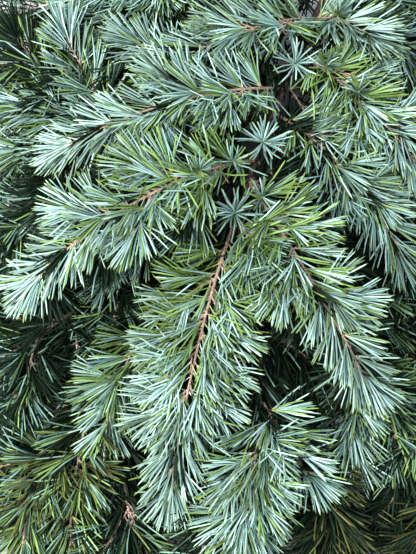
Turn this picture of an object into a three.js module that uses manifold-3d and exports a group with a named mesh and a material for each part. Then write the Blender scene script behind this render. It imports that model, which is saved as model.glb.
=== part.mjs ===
// A cut bough of a cedar, lying on its underside as it was cut.
// Millimetres, +Z up. The sawn end points to +Y, the leading shoot to -Y, and the lowest needles touch Z = 0.
//
// Every piece of wood and every spray follows a growth line. It leaves its start at a heading, in degrees
// round Z from +X, and at a rise, in degrees above the level. Both change evenly along it, the heading
// by its turn and the rise to its droop.

import * as THREE from 'three';
import { mergeVertices } from 'three/addons/utils/BufferGeometryUtils.js';
import Module from 'manifold-3d';

const wasm = await Module();
wasm.setup();

const { degToRad, euclideanModulo, lerp } = THREE.MathUtils;
const GOLDEN_ANGLE = 137.508;
const GOLDEN_SHARE = 0.618034;

// Where the middle of the bough's outline lies from the point that the stem's start is measured from.
const OUTLINE_MIDDLE = new THREE.Vector3(22, 27, 0);

// Clear space between a spray's stem and the wood that carries it, and between two sprays.
const SEAT_GAP = 0.3;
const SPRAY_GAP = 0.4;

// A shoot that droops to the floor lies along it at this height, on its own needles.
const REST_HEIGHT = 9;

const LINE_STEPS = 24;

const STEM = {
  name: 'main_stem', start: [148, 367, 30], heading: 245, turn: 8, rise: 17, droop: 4, length: 352,
  baseRadius: 5, tipRadius: 3.1, sides: 10,
};

// Side limbs, each on the main stem at a share of its length.
const LIMB = { baseRadius: 3, tipRadius: 1.8, sides: 6 };
const WOOD_RING_EVERY = 30;
const LIMBS = [
  { name: 'limb_top_left', at: 0.06, heading: 184, turn: -4, rise: 15, droop: 0, length: 155 },
  { name: 'limb_left', at: 0.66, heading: 166, turn: 20, rise: -10, droop: -10, length: 190 },
  { name: 'limb_lower_left', at: 0.86, heading: 211, turn: 5, rise: -28, droop: 0, length: 260 },
  { name: 'limb_bottom_left', at: 0.94, heading: 225, turn: 15, rise: -28, droop: 0, length: 290 },
  { name: 'limb_bottom', at: 0.96, heading: 284, turn: -14, rise: -22, droop: 0, length: 185 },
  { name: 'limb_lower_right', at: 0.84, heading: 315, turn: -30, rise: -22, droop: 0, length: 215 },
  { name: 'limb_right', at: 0.7, heading: 322, turn: -50, rise: -18, droop: 0, length: 400 },
];

// Sprays, by the wood that carries them: each is a shoot with needles all along it, and side twigs on some.
const SPRAYS = {
  main_stem: [
    { name: 'leader', at: 1, heading: 252, turn: 10, rise: 12, droop: -38, length: 285, twigs: 8 },
    { name: 'fork', at: 0.97, heading: 294, turn: 8, rise: 35, droop: 0, length: 70, twigs: 2 },
    { name: 'centre_right', at: 0.85, heading: 295, turn: 8, rise: 30, droop: -34, length: 245, twigs: 3 },
    { name: 'inner_right', at: 0.78, heading: 320, turn: -16, rise: 0, droop: -22, length: 140, twigs: 2 },
    { name: 'right', at: 0.61, heading: 319, turn: -20, rise: 22, droop: -36, length: 220, twigs: 3 },
    { name: 'upper_right', at: 0.38, heading: 310, turn: 0, rise: 35, droop: -36, length: 240, twigs: 3 },
    { name: 'top', at: 0.24, heading: 305, turn: 18, rise: 72, droop: 5, length: 100 },
    { name: 'top_right', at: 0.2, heading: 330, turn: 15, rise: 20, droop: -25, length: 165, twigs: 2 },
    { name: 'far_top_right', at: 0.1, heading: 355, turn: -12, rise: 15, droop: -25, length: 140, twigs: 2 },
    { name: 'upper_centre', at: 0.23, heading: 212, turn: -12, rise: 50, droop: -25, length: 180, twigs: 2 },
    { name: 'upper_left', at: 0.44, heading: 194, turn: -44, rise: 0, droop: 20, length: 170, twigs: 2 },
    { name: 'left_long', at: 0.52, heading: 200, turn: -4, rise: 42, droop: -38, length: 260, twigs: 3 },
    { name: 'centre_left', at: 0.78, heading: 206, turn: 10, rise: 42, droop: -46, length: 290, twigs: 4 },
  ],
  limb_top_left: [
    { name: 'top_left', at: 1, heading: 214, turn: 0, rise: 22, droop: -30, length: 140, twigs: 2 },
    { name: 'far_top_left', at: 0.8, heading: 205, turn: -8, rise: -8, droop: -18, length: 165, twigs: 2 },
    { name: 'high_top_left', at: 0.9, heading: 188, turn: 10, rise: 20, droop: -24, length: 160, twigs: 2 },
  ],
  limb_left: [
    { name: 'far_left', at: 1, heading: 200, turn: 8, rise: 0, droop: -25, length: 120, twigs: 2 },
    { name: 'left_tip_side', at: 0.9, heading: 165, turn: 12, rise: 16, droop: -22, length: 125, twigs: 2 },
    { name: 'left_tip_low', at: 0.74, heading: 228, turn: -10, rise: 12, droop: -26, length: 165, twigs: 2 },
    { name: 'left_tip_up', at: 0.98, heading: 132, turn: 0, rise: 18, droop: 5, length: 125, twigs: 1 },
    { name: 'left_up', at: 0.84, heading: 126, turn: -10, rise: 25, droop: 5, length: 108 },
    { name: 'left_down', at: 0.94, heading: 234, turn: 28, rise: 5, droop: -25, length: 150, twigs: 2 },
    { name: 'left_inner', at: 0.4, heading: 215, turn: 10, rise: 0, droop: -20, length: 120, twigs: 2 },
  ],
  limb_lower_left: [
    { name: 'inner_left', at: 0.3, heading: 200, turn: 20, rise: 15, droop: -20, length: 85 },
    { name: 'lower_left', at: 0.52, heading: 240, turn: 30, rise: 0, droop: -25, length: 110, twigs: 1 },
    { name: 'lower_left_side', at: 0.82, heading: 270, turn: 10, rise: 0, droop: -20, length: 90 },
    { name: 'far_lower_left', at: 1, heading: 250, turn: 30, rise: 0, droop: -25, length: 110, twigs: 2 },
  ],
  limb_bottom_left: [
    { name: 'bright_left', at: 0.48, heading: 244, turn: 12, rise: 30, droop: -34, length: 120, twigs: 2 },
    { name: 'low_centre', at: 0.6, heading: 262, turn: 20, rise: 0, droop: -20, length: 180, twigs: 2 },
    { name: 'low_inner_left', at: 0.82, heading: 255, turn: 15, rise: 10, droop: -25, length: 140, twigs: 1 },
    { name: 'bottom_left', at: 1, heading: 228, turn: 40, rise: 5, droop: -25, length: 110, twigs: 2 },
  ],
  limb_bottom: [
    { name: 'bottom', at: 1, heading: 262, turn: 2, rise: 20, droop: -34, length: 165, twigs: 4 },
    { name: 'bottom_side', at: 0.96, heading: 300, turn: 2, rise: 25, droop: -28, length: 85 },
    { name: 'bottom_left_side', at: 0.84, heading: 244, turn: 14, rise: -4, droop: -20, length: 175, twigs: 2 },
    { name: 'inner_bottom', at: 0.6, heading: 345, turn: -50, rise: 10, droop: -20, length: 100, twigs: 2 },
    { name: 'low_right', at: 0.74, heading: 312, turn: -35, rise: -15, droop: -8, length: 190, twigs: 2 },
  ],
  limb_lower_right: [
    { name: 'lower_right', at: 1, heading: 258, turn: 22, rise: 12, droop: -32, length: 100, twigs: 2 },
    { name: 'lower_side', at: 0.92, heading: 305, turn: -24, rise: 5, droop: -25, length: 100, twigs: 1 },
  ],
  limb_right: [
    { name: 'right_high', at: 0.36, heading: 340, turn: -30, rise: 10, droop: -22, length: 110, twigs: 2 },
    { name: 'right_middle', at: 0.46, heading: 262, turn: 10, rise: 5, droop: -20, length: 90 },
    { name: 'right_inner', at: 0.64, heading: 262, turn: -12, rise: 0, droop: -25, length: 80 },
    { name: 'right_outer', at: 0.6, heading: 335, turn: -40, rise: 5, droop: -25, length: 110, twigs: 2 },
    { name: 'right_down', at: 0.74, heading: 260, turn: -14, rise: 18, droop: -30, length: 110, twigs: 1 },
    { name: 'right_side', at: 0.84, heading: 305, turn: -12, rise: 10, droop: -25, length: 90 },
    { name: 'bottom_right', at: 1, heading: 258, turn: -20, rise: 5, droop: -25, length: 100, twigs: 2 },
  ],
};

// Short spurs on top of the main stem, each a star of needles.
const SPUR = { rise: 80, length: 12 };
const SPURS = [
  { name: 'spur_top', at: 0.44, heading: 320 },
  { name: 'spur_middle', at: 0.73, heading: 300 },
  { name: 'spur_fork', at: 0.965, heading: 230 },
];

// A spray's core is slim at its stem, fullest a quarter of the way along, and thin at its tip.
const CORE = { stemRadius: 1.7, fullRadius: 3.2, fullAt: 0.25, tipRadius: 0.9, sides: 5, ringEvery: 32 };

// Side twigs leave their shoot between two shares of its length, spread from it in degrees and close in again.
// A twig's length is the least length and a share of the shoot's, less towards the shoot's tip.
const TWIG = {
  baseRadius: 1.6, tipRadius: 0.9, sides: 3, firstAt: 0.1, lastAt: 0.62,
  spread: 46, spreadUneven: 8, closing: 14, drop: 12, least: 9, share: 0.15, tipLoss: 0.3, uneven: 0.2,
};

// A needle here stands for a tuft of real ones: as long as life, and wider. Angles are in degrees.
const NEEDLE = {
  length: 41, tipLoss: 0.1, lengthUneven: 0.06, radius: 3.2, widestAt: 0.4, sides: 3,
  spacing: 15.4, fewest: 3, firstAt: 0.6, lastAt: 0.985,
  basePitch: 60, tipPitch: 20, parting: 25, angleUneven: 5,
};
const SPUR_NEEDLE = { ...NEEDLE, length: 30, spacing: 1.2, basePitch: 88, tipPitch: 35 };

// A needle that finds no room is tried at these angles from its own before it is left out.
const DETOURS = [0, 24, -24, 48, -48, 72, -72];

const BARK = { color: 0x8a7466, roughness: 0.9, metalness: 0 };
const FOLIAGE = { color: 0x7fae8c, roughness: 0.6, metalness: 0 };

/** A small seeded generator of numbers from 0 to 1. */
function seededRandom(seed) {
  let state = seed;
  return () => {
    state = (state + 0x6d2b79f5) | 0;
    let mixed = Math.imul(state ^ (state >>> 15), 1 | state);
    mixed = (mixed + Math.imul(mixed ^ (mixed >>> 7), 61 | mixed)) ^ mixed;
    return ((mixed ^ (mixed >>> 14)) >>> 0) / 4294967296;
  };
}

/** The unit vector at a heading and a rise, both in degrees. */
function directionOf(heading, rise) {
  const level = Math.cos(degToRad(rise));
  return new THREE.Vector3(
    level * Math.cos(degToRad(heading)),
    level * Math.sin(degToRad(heading)),
    Math.sin(degToRad(rise)),
  );
}

/** A line that leaves its start at a heading and a rise, and bends evenly. */
class GrowthLine {
  constructor(start, { heading, turn = 0, rise, droop = rise, length }) {
    Object.assign(this, { heading, turn, rise, droop, length });
    this.points = [start.clone()];
    for (let i = 0; i < LINE_STEPS; i += 1) {
      const stride = this.directionAt((i + 0.5) / LINE_STEPS).multiplyScalar(length / LINE_STEPS);
      const next = this.points[i].clone().add(stride);
      next.z = Math.max(next.z, Math.min(this.points[i].z, REST_HEIGHT));
      this.points.push(next);
    }
  }

  headingAt(share) {
    return this.heading + this.turn * share;
  }

  riseAt(share) {
    return lerp(this.rise, this.droop, share);
  }

  directionAt(share) {
    return directionOf(this.headingAt(share), this.riseAt(share));
  }

  pointAt(share) {
    const place = Math.min(share, 1) * LINE_STEPS;
    const index = Math.min(Math.floor(place), LINE_STEPS - 1);
    return this.points[index].clone().lerp(this.points[index + 1], place - index);
  }
}

/** Two unit vectors across a direction: the first level, the second as upright as it can be. */
function sidesOf(direction) {
  const level = new THREE.Vector3(-direction.y, direction.x, 0);
  if (level.lengthSq() < 1e-8) level.set(0, 1, 0);
  level.normalize();
  return { level, upright: direction.clone().cross(level) };
}

/** A closed mesh whose rings of equal count are joined in turn, with a point or a flat cap at each end. */
function ringSolid(rings, startPoint, endPoint) {
  const count = rings[0].length;
  const points = [...rings.flat(), startPoint, endPoint];
  const first = points.length - 2;
  const last = points.length - 1;
  const faces = [];
  for (let side = 0; side < count; side += 1) {
    const next = (side + 1) % count;
    faces.push(first, next, side);
    for (let ring = 0; ring + 1 < rings.length; ring += 1) {
      const low = ring * count;
      const high = low + count;
      faces.push(low + side, low + next, high + next);
      faces.push(low + side, high + next, high + side);
    }
    const top = (rings.length - 1) * count;
    faces.push(last, top + side, top + next);
  }
  const geometry = new THREE.BufferGeometry().setFromPoints(points);
  geometry.setIndex(faces);
  return geometry;
}

/** The ring of points at a radius round a centre, across a direction. */
function ringRound(centre, direction, radius, sides) {
  const { level, upright } = sidesOf(direction);
  return Array.from({ length: sides }, (_, side) => {
    const angle = (2 * Math.PI * side) / sides;
    return centre.clone()
      .addScaledVector(level, radius * Math.cos(angle))
      .addScaledVector(upright, radius * Math.sin(angle));
  });
}

/** A flat-ended tube round a growth line, its radius a function of the share of the length. */
function tubeRound(line, radiusAt, sides, ringCount) {
  const rings = Array.from({ length: ringCount + 1 }, (_, ring) => {
    const share = ring / ringCount;
    return ringRound(line.pointAt(share), line.directionAt(share), radiusAt(share), sides);
  });
  return ringSolid(rings, line.pointAt(0), line.pointAt(1));
}

/** A needle of six faces, pointed at both ends. */
function needleShape({ root, tip }, form) {
  const direction = tip.clone().sub(root).normalize();
  const waist = root.clone().lerp(tip, form.widestAt);
  return ringSolid([ringRound(waist, direction, form.radius, form.sides)], root, tip);
}

/** The least distance between two straight stretches. */
function stretchDistance(a, b) {
  const along = a.to.clone().sub(a.from);
  const other = b.to.clone().sub(b.from);
  const between = a.from.clone().sub(b.from);
  const alongSq = along.lengthSq();
  const otherSq = other.lengthSq();
  const mixed = along.dot(other);
  const reachA = along.dot(between);
  const reachB = other.dot(between);
  const spread = alongSq * otherSq - mixed * mixed;
  const clamp = (value) => Math.min(1, Math.max(0, value));
  let s = spread > 1e-9 ? clamp((mixed * reachB - reachA * otherSq) / spread) : 0;
  const t = clamp((mixed * s + reachB) / otherSq);
  s = clamp((mixed * t - reachA) / alongSq);
  const nearA = a.from.clone().addScaledVector(along, s);
  return nearA.distanceTo(b.from.clone().addScaledVector(other, t));
}

/** Keeps every stretch of wood and needle that is placed, so that later ones keep clear of them. */
class Room {
  constructor() {
    this.stretches = [];
  }

  claim(owner, from, to, radius) {
    this.stretches.push({ owner, from, to, radius });
  }

  claimLine(owner, line, radiusAt) {
    for (let i = 0; i < LINE_STEPS; i += 1) {
      this.claim(owner, line.points[i], line.points[i + 1], radiusAt(i / LINE_STEPS));
    }
  }

  isFree(owner, from, to, radius) {
    const wanted = { from, to };
    return this.stretches.every((stretch) => stretch.owner === owner
      || stretchDistance(wanted, stretch) > radius + stretch.radius + SPRAY_GAP);
  }

  isLineFree(owner, line, radiusAt) {
    return line.points.slice(1).every((point, i) => (
      this.isFree(owner, line.points[i], point, radiusAt(i / LINE_STEPS))));
  }
}

const room = new Room();
const wood = new Map();

/** The line of a shoot that leaves a piece of wood, its flat end just clear of that wood's surface. */
function lineFrom(spec, radius) {
  const parent = wood.get(spec.on);
  const outward = directionOf(spec.heading, spec.rise);
  const along = parent.line.directionAt(spec.at);
  const parentRadius = parent.radiusAt(spec.at);
  const cosine = Math.abs(outward.dot(along));
  const sine = Math.sqrt(1 - cosine * cosine);
  const stand = spec.at < 1
    ? (parentRadius + SEAT_GAP + radius * cosine) / sine
    : (SEAT_GAP + radius * sine) / cosine;
  return new GrowthLine(parent.line.pointAt(spec.at).addScaledVector(outward, stand), spec);
}

/** A solid for joining, from a closed mesh. */
function solidOf(geometry) {
  geometry.deleteAttribute('normal');
  geometry.deleteAttribute('uv');
  const merged = mergeVertices(geometry);
  return new wasm.Manifold(new wasm.Mesh({
    numProp: 3,
    vertProperties: new Float32Array(merged.attributes.position.array),
    triVerts: new Uint32Array(merged.index.array),
  }));
}

/** All the shapes joined to one, with loose scraps dropped and sealed hollows filled. */
function fused(shapes) {
  let whole = solidOf(shapes[0]);
  for (const shape of shapes.slice(1)) whole = whole.add(solidOf(shape));
  const largest = whole.decompose().reduce((best, piece) => (piece.volume() > best.volume() ? piece : best));
  const mesh = largest.getMesh();
  const geometry = new THREE.BufferGeometry();
  geometry.setAttribute('position', new THREE.BufferAttribute(new Float32Array(mesh.vertProperties), 3));
  geometry.setIndex(new THREE.BufferAttribute(new Uint32Array(mesh.triVerts), 1));
  return geometry;
}

/** The named mesh of one node, shaded flat. */
function node(name, geometry, finish) {
  const flat = geometry.toNonIndexed();
  flat.computeVertexNormals();
  const mesh = new THREE.Mesh(flat, new THREE.MeshStandardMaterial(finish));
  mesh.name = name;
  return mesh;
}

/** A piece of wood, kept in the register that sprays and further limbs start from. */
function makeWood(name, line, { baseRadius, tipRadius, sides }) {
  const radiusAt = (share) => lerp(baseRadius, tipRadius, share);
  wood.set(name, { line, radiusAt });
  room.claimLine(name, line, radiusAt);
  return node(name, tubeRound(line, radiusAt, sides, Math.round(line.length / WOOD_RING_EVERY)), BARK);
}

/** The core's radius: from the stem out to its fullest place, and down to the tip. */
function coreRadiusAt(share) {
  if (share < CORE.fullAt) return lerp(CORE.stemRadius, CORE.fullRadius, share / CORE.fullAt);
  return lerp(CORE.fullRadius, CORE.tipRadius, (share - CORE.fullAt) / (1 - CORE.fullAt));
}

const twigRadiusAt = (share) => lerp(TWIG.baseRadius, TWIG.tipRadius, share);

/** The side twigs of a shoot, left and right in turn and shorter towards its tip. */
function twigLines(twigCount, line) {
  const fullLength = TWIG.least + TWIG.share * line.length;
  return Array.from({ length: twigCount }, (_, index) => {
    const share = lerp(TWIG.firstAt, TWIG.lastAt, (index + 0.5) / twigCount);
    const side = index % 2 === 0 ? 1 : -1;
    const uneven = ((index * GOLDEN_SHARE) % 1) - 0.5;
    return new GrowthLine(line.pointAt(share), {
      heading: line.headingAt(share) + side * (TWIG.spread + TWIG.spreadUneven * uneven),
      turn: -side * TWIG.closing,
      rise: line.riseAt(share),
      droop: line.riseAt(share) - TWIG.drop,
      length: fullLength * (1 - TWIG.tipLoss * share + TWIG.uneven * uneven),
    });
  });
}

/** A needle's aim, pressed level where it would reach through the floor. */
function aimAboveFloor(root, aim, length) {
  if (root.z + aim.z * length >= 0) return aim;
  const drop = -root.z / length;
  const level = Math.sqrt((1 - drop * drop) / (aim.x * aim.x + aim.y * aim.y));
  return new THREE.Vector3(aim.x * level, aim.y * level, drop);
}

/** One needle's root and tip, at an angle in degrees round the shoot from its top, where the needles part. */
function needleStretch(line, share, angle, pitch, length) {
  const direction = line.directionAt(share);
  const { level, upright } = sidesOf(direction);
  const fromTop = euclideanModulo(angle + 180, 360) - 180;
  const parted = degToRad(Math.abs(fromTop) < NEEDLE.parting ? Math.sign(fromTop) * NEEDLE.parting : fromTop);
  const outward = upright.multiplyScalar(Math.cos(parted)).addScaledVector(level, Math.sin(parted));
  const spread = degToRad(pitch);
  const aim = direction.multiplyScalar(Math.cos(spread)).addScaledVector(outward, Math.sin(spread));
  const root = line.pointAt(share);
  return { root, tip: root.clone().addScaledVector(aimAboveFloor(root, aim, length), length) };
}

/** The needles of one line that find room, each tried at a few angles round it. */
function needlesAlong(owner, line, form, random) {
  const count = Math.max(form.fewest, Math.round(line.length / form.spacing));
  const placed = [];
  for (let i = 0; i < count; i += 1) {
    const share = Math.min((i + form.firstAt) / count, form.lastAt);
    const pitch = lerp(form.basePitch, form.tipPitch, share) + form.angleUneven * (2 * random() - 1);
    const length = form.length * (1 - form.tipLoss * share + form.lengthUneven * (2 * random() - 1));
    const angle = i * GOLDEN_ANGLE + form.angleUneven * random();
    const fitting = DETOURS
      .map((detour) => needleStretch(line, share, angle + detour, pitch, length))
      .find(({ root, tip }) => room.isFree(owner, root, tip, form.radius));
    if (fitting) {
      room.claim(owner, fitting.root, fitting.tip, form.radius);
      placed.push(needleShape(fitting, form));
    }
  }
  return placed;
}

/** One spray as a node: its core, its side twigs and its needles, fused. */
function makeSpray({ name, twigs = 0 }, line, seed) {
  const random = seededRandom(seed);
  const sideLines = twigLines(twigs, line).filter((twig) => room.isLineFree(name, twig, twigRadiusAt));
  sideLines.forEach((twig) => room.claimLine(name, twig, twigRadiusAt));
  const shapes = [
    tubeRound(line, coreRadiusAt, CORE.sides, Math.max(4, Math.round(line.length / CORE.ringEvery))),
    ...sideLines.map((twig) => tubeRound(twig, twigRadiusAt, TWIG.sides, 2)),
    ...needlesAlong(name, line, NEEDLE, random),
    ...sideLines.flatMap((twig) => needlesAlong(name, twig, NEEDLE, random)),
  ];
  return node(name, fused(shapes), FOLIAGE);
}

/** One spur as a node: a stub with a star of needles. */
function makeSpur({ name }, line, seed) {
  const shapes = [
    tubeRound(line, () => CORE.stemRadius, CORE.sides, 1),
    ...needlesAlong(name, line, SPUR_NEEDLE, seededRandom(seed)),
  ];
  return node(name, fused(shapes), FOLIAGE);
}

const bough = new THREE.Group();
bough.name = 'cedar_bough';
bough.position.copy(OUTLINE_MIDDLE).negate();

const stemLine = new GrowthLine(new THREE.Vector3(...STEM.start), STEM);
bough.add(makeWood(STEM.name, stemLine, STEM));
for (const spec of LIMBS) {
  bough.add(makeWood(spec.name, lineFrom({ ...spec, on: STEM.name }, LIMB.baseRadius), LIMB));
}

// The cores all claim their room first, then each spray in turn takes what its needles find free.
const sprays = Object.entries(SPRAYS).flatMap(([on, specs]) => specs.map((spec) => {
  const named = { ...spec, on, name: `${spec.name}_spray` };
  return { spec: named, line: lineFrom(named, CORE.stemRadius) };
}));
const spurs = SPURS.map((spec) => {
  const named = { ...SPUR, ...spec, on: STEM.name };
  return { spec: named, line: lineFrom(named, CORE.stemRadius) };
});
sprays.forEach(({ spec, line }) => room.claimLine(spec.name, line, coreRadiusAt));
spurs.forEach(({ spec, line }) => room.claimLine(spec.name, line, () => CORE.stemRadius));
sprays.forEach(({ spec, line }, index) => bough.add(makeSpray(spec, line, index + 1)));
spurs.forEach(({ spec, line }, index) => bough.add(makeSpur(spec, line, sprays.length + index + 1)));

export default bough;
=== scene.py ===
"""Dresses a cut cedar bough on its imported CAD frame.

The stem, limbs and sprays grow by the part source's rule, written again here from the same named sizes in
millimetres, and go on to finer side shoots, buds and needles within the same reach. Meshes are in metres.
"""
import logging
import math
from dataclasses import dataclass, field, fields
from enum import Enum
from typing import Any, Iterable, Sequence

import bpy
import numpy as np
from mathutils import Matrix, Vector, noise


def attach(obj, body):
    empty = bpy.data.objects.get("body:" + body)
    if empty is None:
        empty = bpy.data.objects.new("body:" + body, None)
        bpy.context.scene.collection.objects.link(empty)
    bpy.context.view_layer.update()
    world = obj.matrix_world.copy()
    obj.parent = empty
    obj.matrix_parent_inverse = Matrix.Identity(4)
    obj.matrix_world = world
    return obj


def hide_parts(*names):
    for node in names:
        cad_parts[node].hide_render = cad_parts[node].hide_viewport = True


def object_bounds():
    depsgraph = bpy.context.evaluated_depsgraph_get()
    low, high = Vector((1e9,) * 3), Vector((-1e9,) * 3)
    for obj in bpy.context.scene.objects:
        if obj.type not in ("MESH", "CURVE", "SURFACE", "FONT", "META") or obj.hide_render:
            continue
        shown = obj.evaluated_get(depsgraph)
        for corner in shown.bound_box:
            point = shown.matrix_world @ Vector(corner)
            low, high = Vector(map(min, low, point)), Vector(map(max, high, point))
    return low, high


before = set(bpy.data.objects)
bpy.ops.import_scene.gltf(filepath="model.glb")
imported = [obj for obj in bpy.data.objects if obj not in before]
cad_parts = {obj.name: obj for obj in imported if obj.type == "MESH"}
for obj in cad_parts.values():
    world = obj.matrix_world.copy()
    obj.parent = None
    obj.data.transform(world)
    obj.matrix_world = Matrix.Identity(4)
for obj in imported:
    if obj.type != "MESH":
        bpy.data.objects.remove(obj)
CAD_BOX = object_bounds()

LOG = logging.getLogger("cedar_bough")

MM = 0.001
GOLDEN_ANGLE = 137.508
GOLDEN_SHARE = 0.618034
OUTLINE_MIDDLE = np.array([22.0, 27.0, 0.0])
SEAT_GAP = 0.3
REST_HEIGHT = 9.0
FLOOR_CLEARANCE = 0.6
LINE_STEPS = 24
STEM_NODE = "main_stem"
BODY = "root"

Points = np.ndarray
Colour = tuple[float, float, float]


class Wire:
    """An output socket that takes part in sums; each sum adds a Math node to its tree."""

    def __init__(self, forge: "Forge", socket: bpy.types.NodeSocket) -> None:
        """Keeps the socket and the forge that made it."""
        self.forge = forge
        self.socket = socket

    def _sum(self, operation: str, first: Any, second: Any) -> "Wire":
        """The Math node of one operation on two values or wires."""
        return self.forge.maths(operation, first, second)

    def __add__(self, other: Any) -> "Wire":
        """The sum with a value or wire."""
        return self._sum("ADD", self, other)

    def __radd__(self, other: Any) -> "Wire":
        """The sum with a value on the left."""
        return self._sum("ADD", other, self)

    def __sub__(self, other: Any) -> "Wire":
        """The difference from a value or wire."""
        return self._sum("SUBTRACT", self, other)

    def __rsub__(self, other: Any) -> "Wire":
        """The difference of a value on the left."""
        return self._sum("SUBTRACT", other, self)

    def __mul__(self, other: Any) -> "Wire":
        """The product with a value or wire."""
        return self._sum("MULTIPLY", self, other)

    def __rmul__(self, other: Any) -> "Wire":
        """The product with a value on the left."""
        return self._sum("MULTIPLY", other, self)

    def between(self, low: float, high: float) -> "Wire":
        """A smooth step from 0 at low to 1 at high.

        Args:
            low: where the step starts.
            high: where it ends.

        Returns:
            The step's wire.
        """
        return self.forge.add(
            "ShaderNodeMapRange",
            {"interpolation_type": "SMOOTHSTEP"},
            {"Value": self, "From Min": low, "From Max": high},
        )


class Forge:
    """Adds nodes to one tree."""

    def __init__(self, tree: bpy.types.NodeTree) -> None:
        """Keeps the tree."""
        self.tree = tree

    @staticmethod
    def _socket(sockets: Any, key: str | int) -> bpy.types.NodeSocket:
        """The socket at an index, or the first one in use with a name.

        Args:
            sockets: a node's inputs or outputs.
            key: the index or the name.

        Returns:
            The socket.
        """
        if isinstance(key, int):
            return sockets[key]
        return next(socket for socket in sockets if socket.name == key and socket.enabled)

    def join(self, value: Any, socket: bpy.types.NodeSocket) -> None:
        """Links a wire to a socket, or sets the socket to a plain value.

        Args:
            value: the wire or the value.
            socket: the socket that takes it.
        """
        if isinstance(value, Wire):
            self.tree.links.new(value.socket, socket)
        else:
            socket.default_value = value

    def add(
        self,
        kind: str,
        settings: dict[str, Any] | None = None,
        inputs: dict[str | int, Any] | None = None,
        output: str | int = 0,
    ) -> Wire:
        """Adds one node.

        Args:
            kind: the node's type.
            settings: its properties, set first; "curve" gives the points of a float curve.
            inputs: values or wires by socket name or index.
            output: the socket that is handed back.

        Returns:
            The wire of that output.
        """
        node = self.tree.nodes.new(kind)
        for name, value in (settings or {}).items():
            if name == "curve":
                points = node.mapping.curves[0].points
                for index, (x, y) in enumerate(value):
                    point = points[index] if index < 2 else points.new(x, y)
                    point.location = (x, y)
                    point.handle_type = "VECTOR"
                node.mapping.update()
            else:
                setattr(node, name, value)
        for key, value in (inputs or {}).items():
            self.join(value, self._socket(node.inputs, key))
        if not node.outputs:
            return Wire(self, node.inputs[0])
        return Wire(self, self._socket(node.outputs, output))

    def maths(self, operation: str, *values: Any) -> Wire:
        """A Math node of one operation."""
        return self.add("ShaderNodeMath", {"operation": operation}, dict(enumerate(values)))

    def blend(self, share: Any, first: Any, second: Any, way: str = "MIX") -> Wire:
        """The colour between two, by a share, or their product."""
        settings = {"data_type": "RGBA", "blend_type": way}
        return self.add("ShaderNodeMix", settings, {0: share, 6: _rgba(first), 7: _rgba(second)}, 2)

    def noise(self, place: Any, scale: float, detail: float = 3.0) -> Wire:
        """A noise value from 0 to 1 at a place."""
        return self.add("ShaderNodeTexNoise", None, {"Vector": place, "Scale": scale, "Detail": detail})

    def bump(self, height: Any, distance: float, strength: float) -> Wire:
        """The normal of a height."""
        inputs = {"Height": height, "Distance": distance, "Strength": strength}
        return self.add("ShaderNodeBump", None, inputs)

    def object_place(self) -> Wire:
        """The place on the object."""
        return self.add("ShaderNodeTexCoord", None, None, "Object")

    def split(self, vector: Any) -> list[Wire]:
        """The three parts of a vector."""
        node = self.add("ShaderNodeSeparateXYZ", None, {"Vector": vector}).socket.node
        return [Wire(self, output) for output in node.outputs]

    def vector(self, *parts: Any) -> Wire:
        """A vector of its parts."""
        return self.add("ShaderNodeCombineXYZ", None, dict(enumerate(parts)))

    def named(self, name: str, kind: str = "FLOAT") -> Wire:
        """The values of a mesh's attribute."""
        return self.add("GeometryNodeInputNamedAttribute", {"data_type": kind}, {"Name": name})

    def facing(self, aim: Any) -> Wire:
        """The rotation that turns the upright axis to an aim."""
        return self.add("FunctionNodeAlignRotationToVector", {"axis": "Z"}, {"Vector": aim})

    def random(self, low: float, high: float, seed: Any) -> Wire:
        """A random value for each point."""
        inputs = {"Min": low, "Max": high, "Seed": seed}
        return self.add("FunctionNodeRandomValue", {"data_type": "FLOAT"}, inputs, "Value")

    def on_points(self, points: Any, instance: Any, rotation: Any, scale: Any) -> Wire:
        """An instance on every point."""
        inputs = {"Points": points, "Instance": instance, "Rotation": rotation, "Scale": scale}
        return self.add("GeometryNodeInstanceOnPoints", None, inputs)


def _rgba(value: Any) -> Any:
    """A colour with its alpha, or the wire as it is."""
    return value if isinstance(value, Wire) else (*value, 1.0)


def show(name: str, data: Any) -> bpy.types.Object:
    """A new object of a mesh, light or camera, linked to the scene.

    Args:
        name: the object's name.
        data: its mesh, light or camera.

    Returns:
        The object.
    """
    piece = bpy.data.objects.new(name, data)
    bpy.context.scene.collection.objects.link(piece)
    return piece


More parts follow.
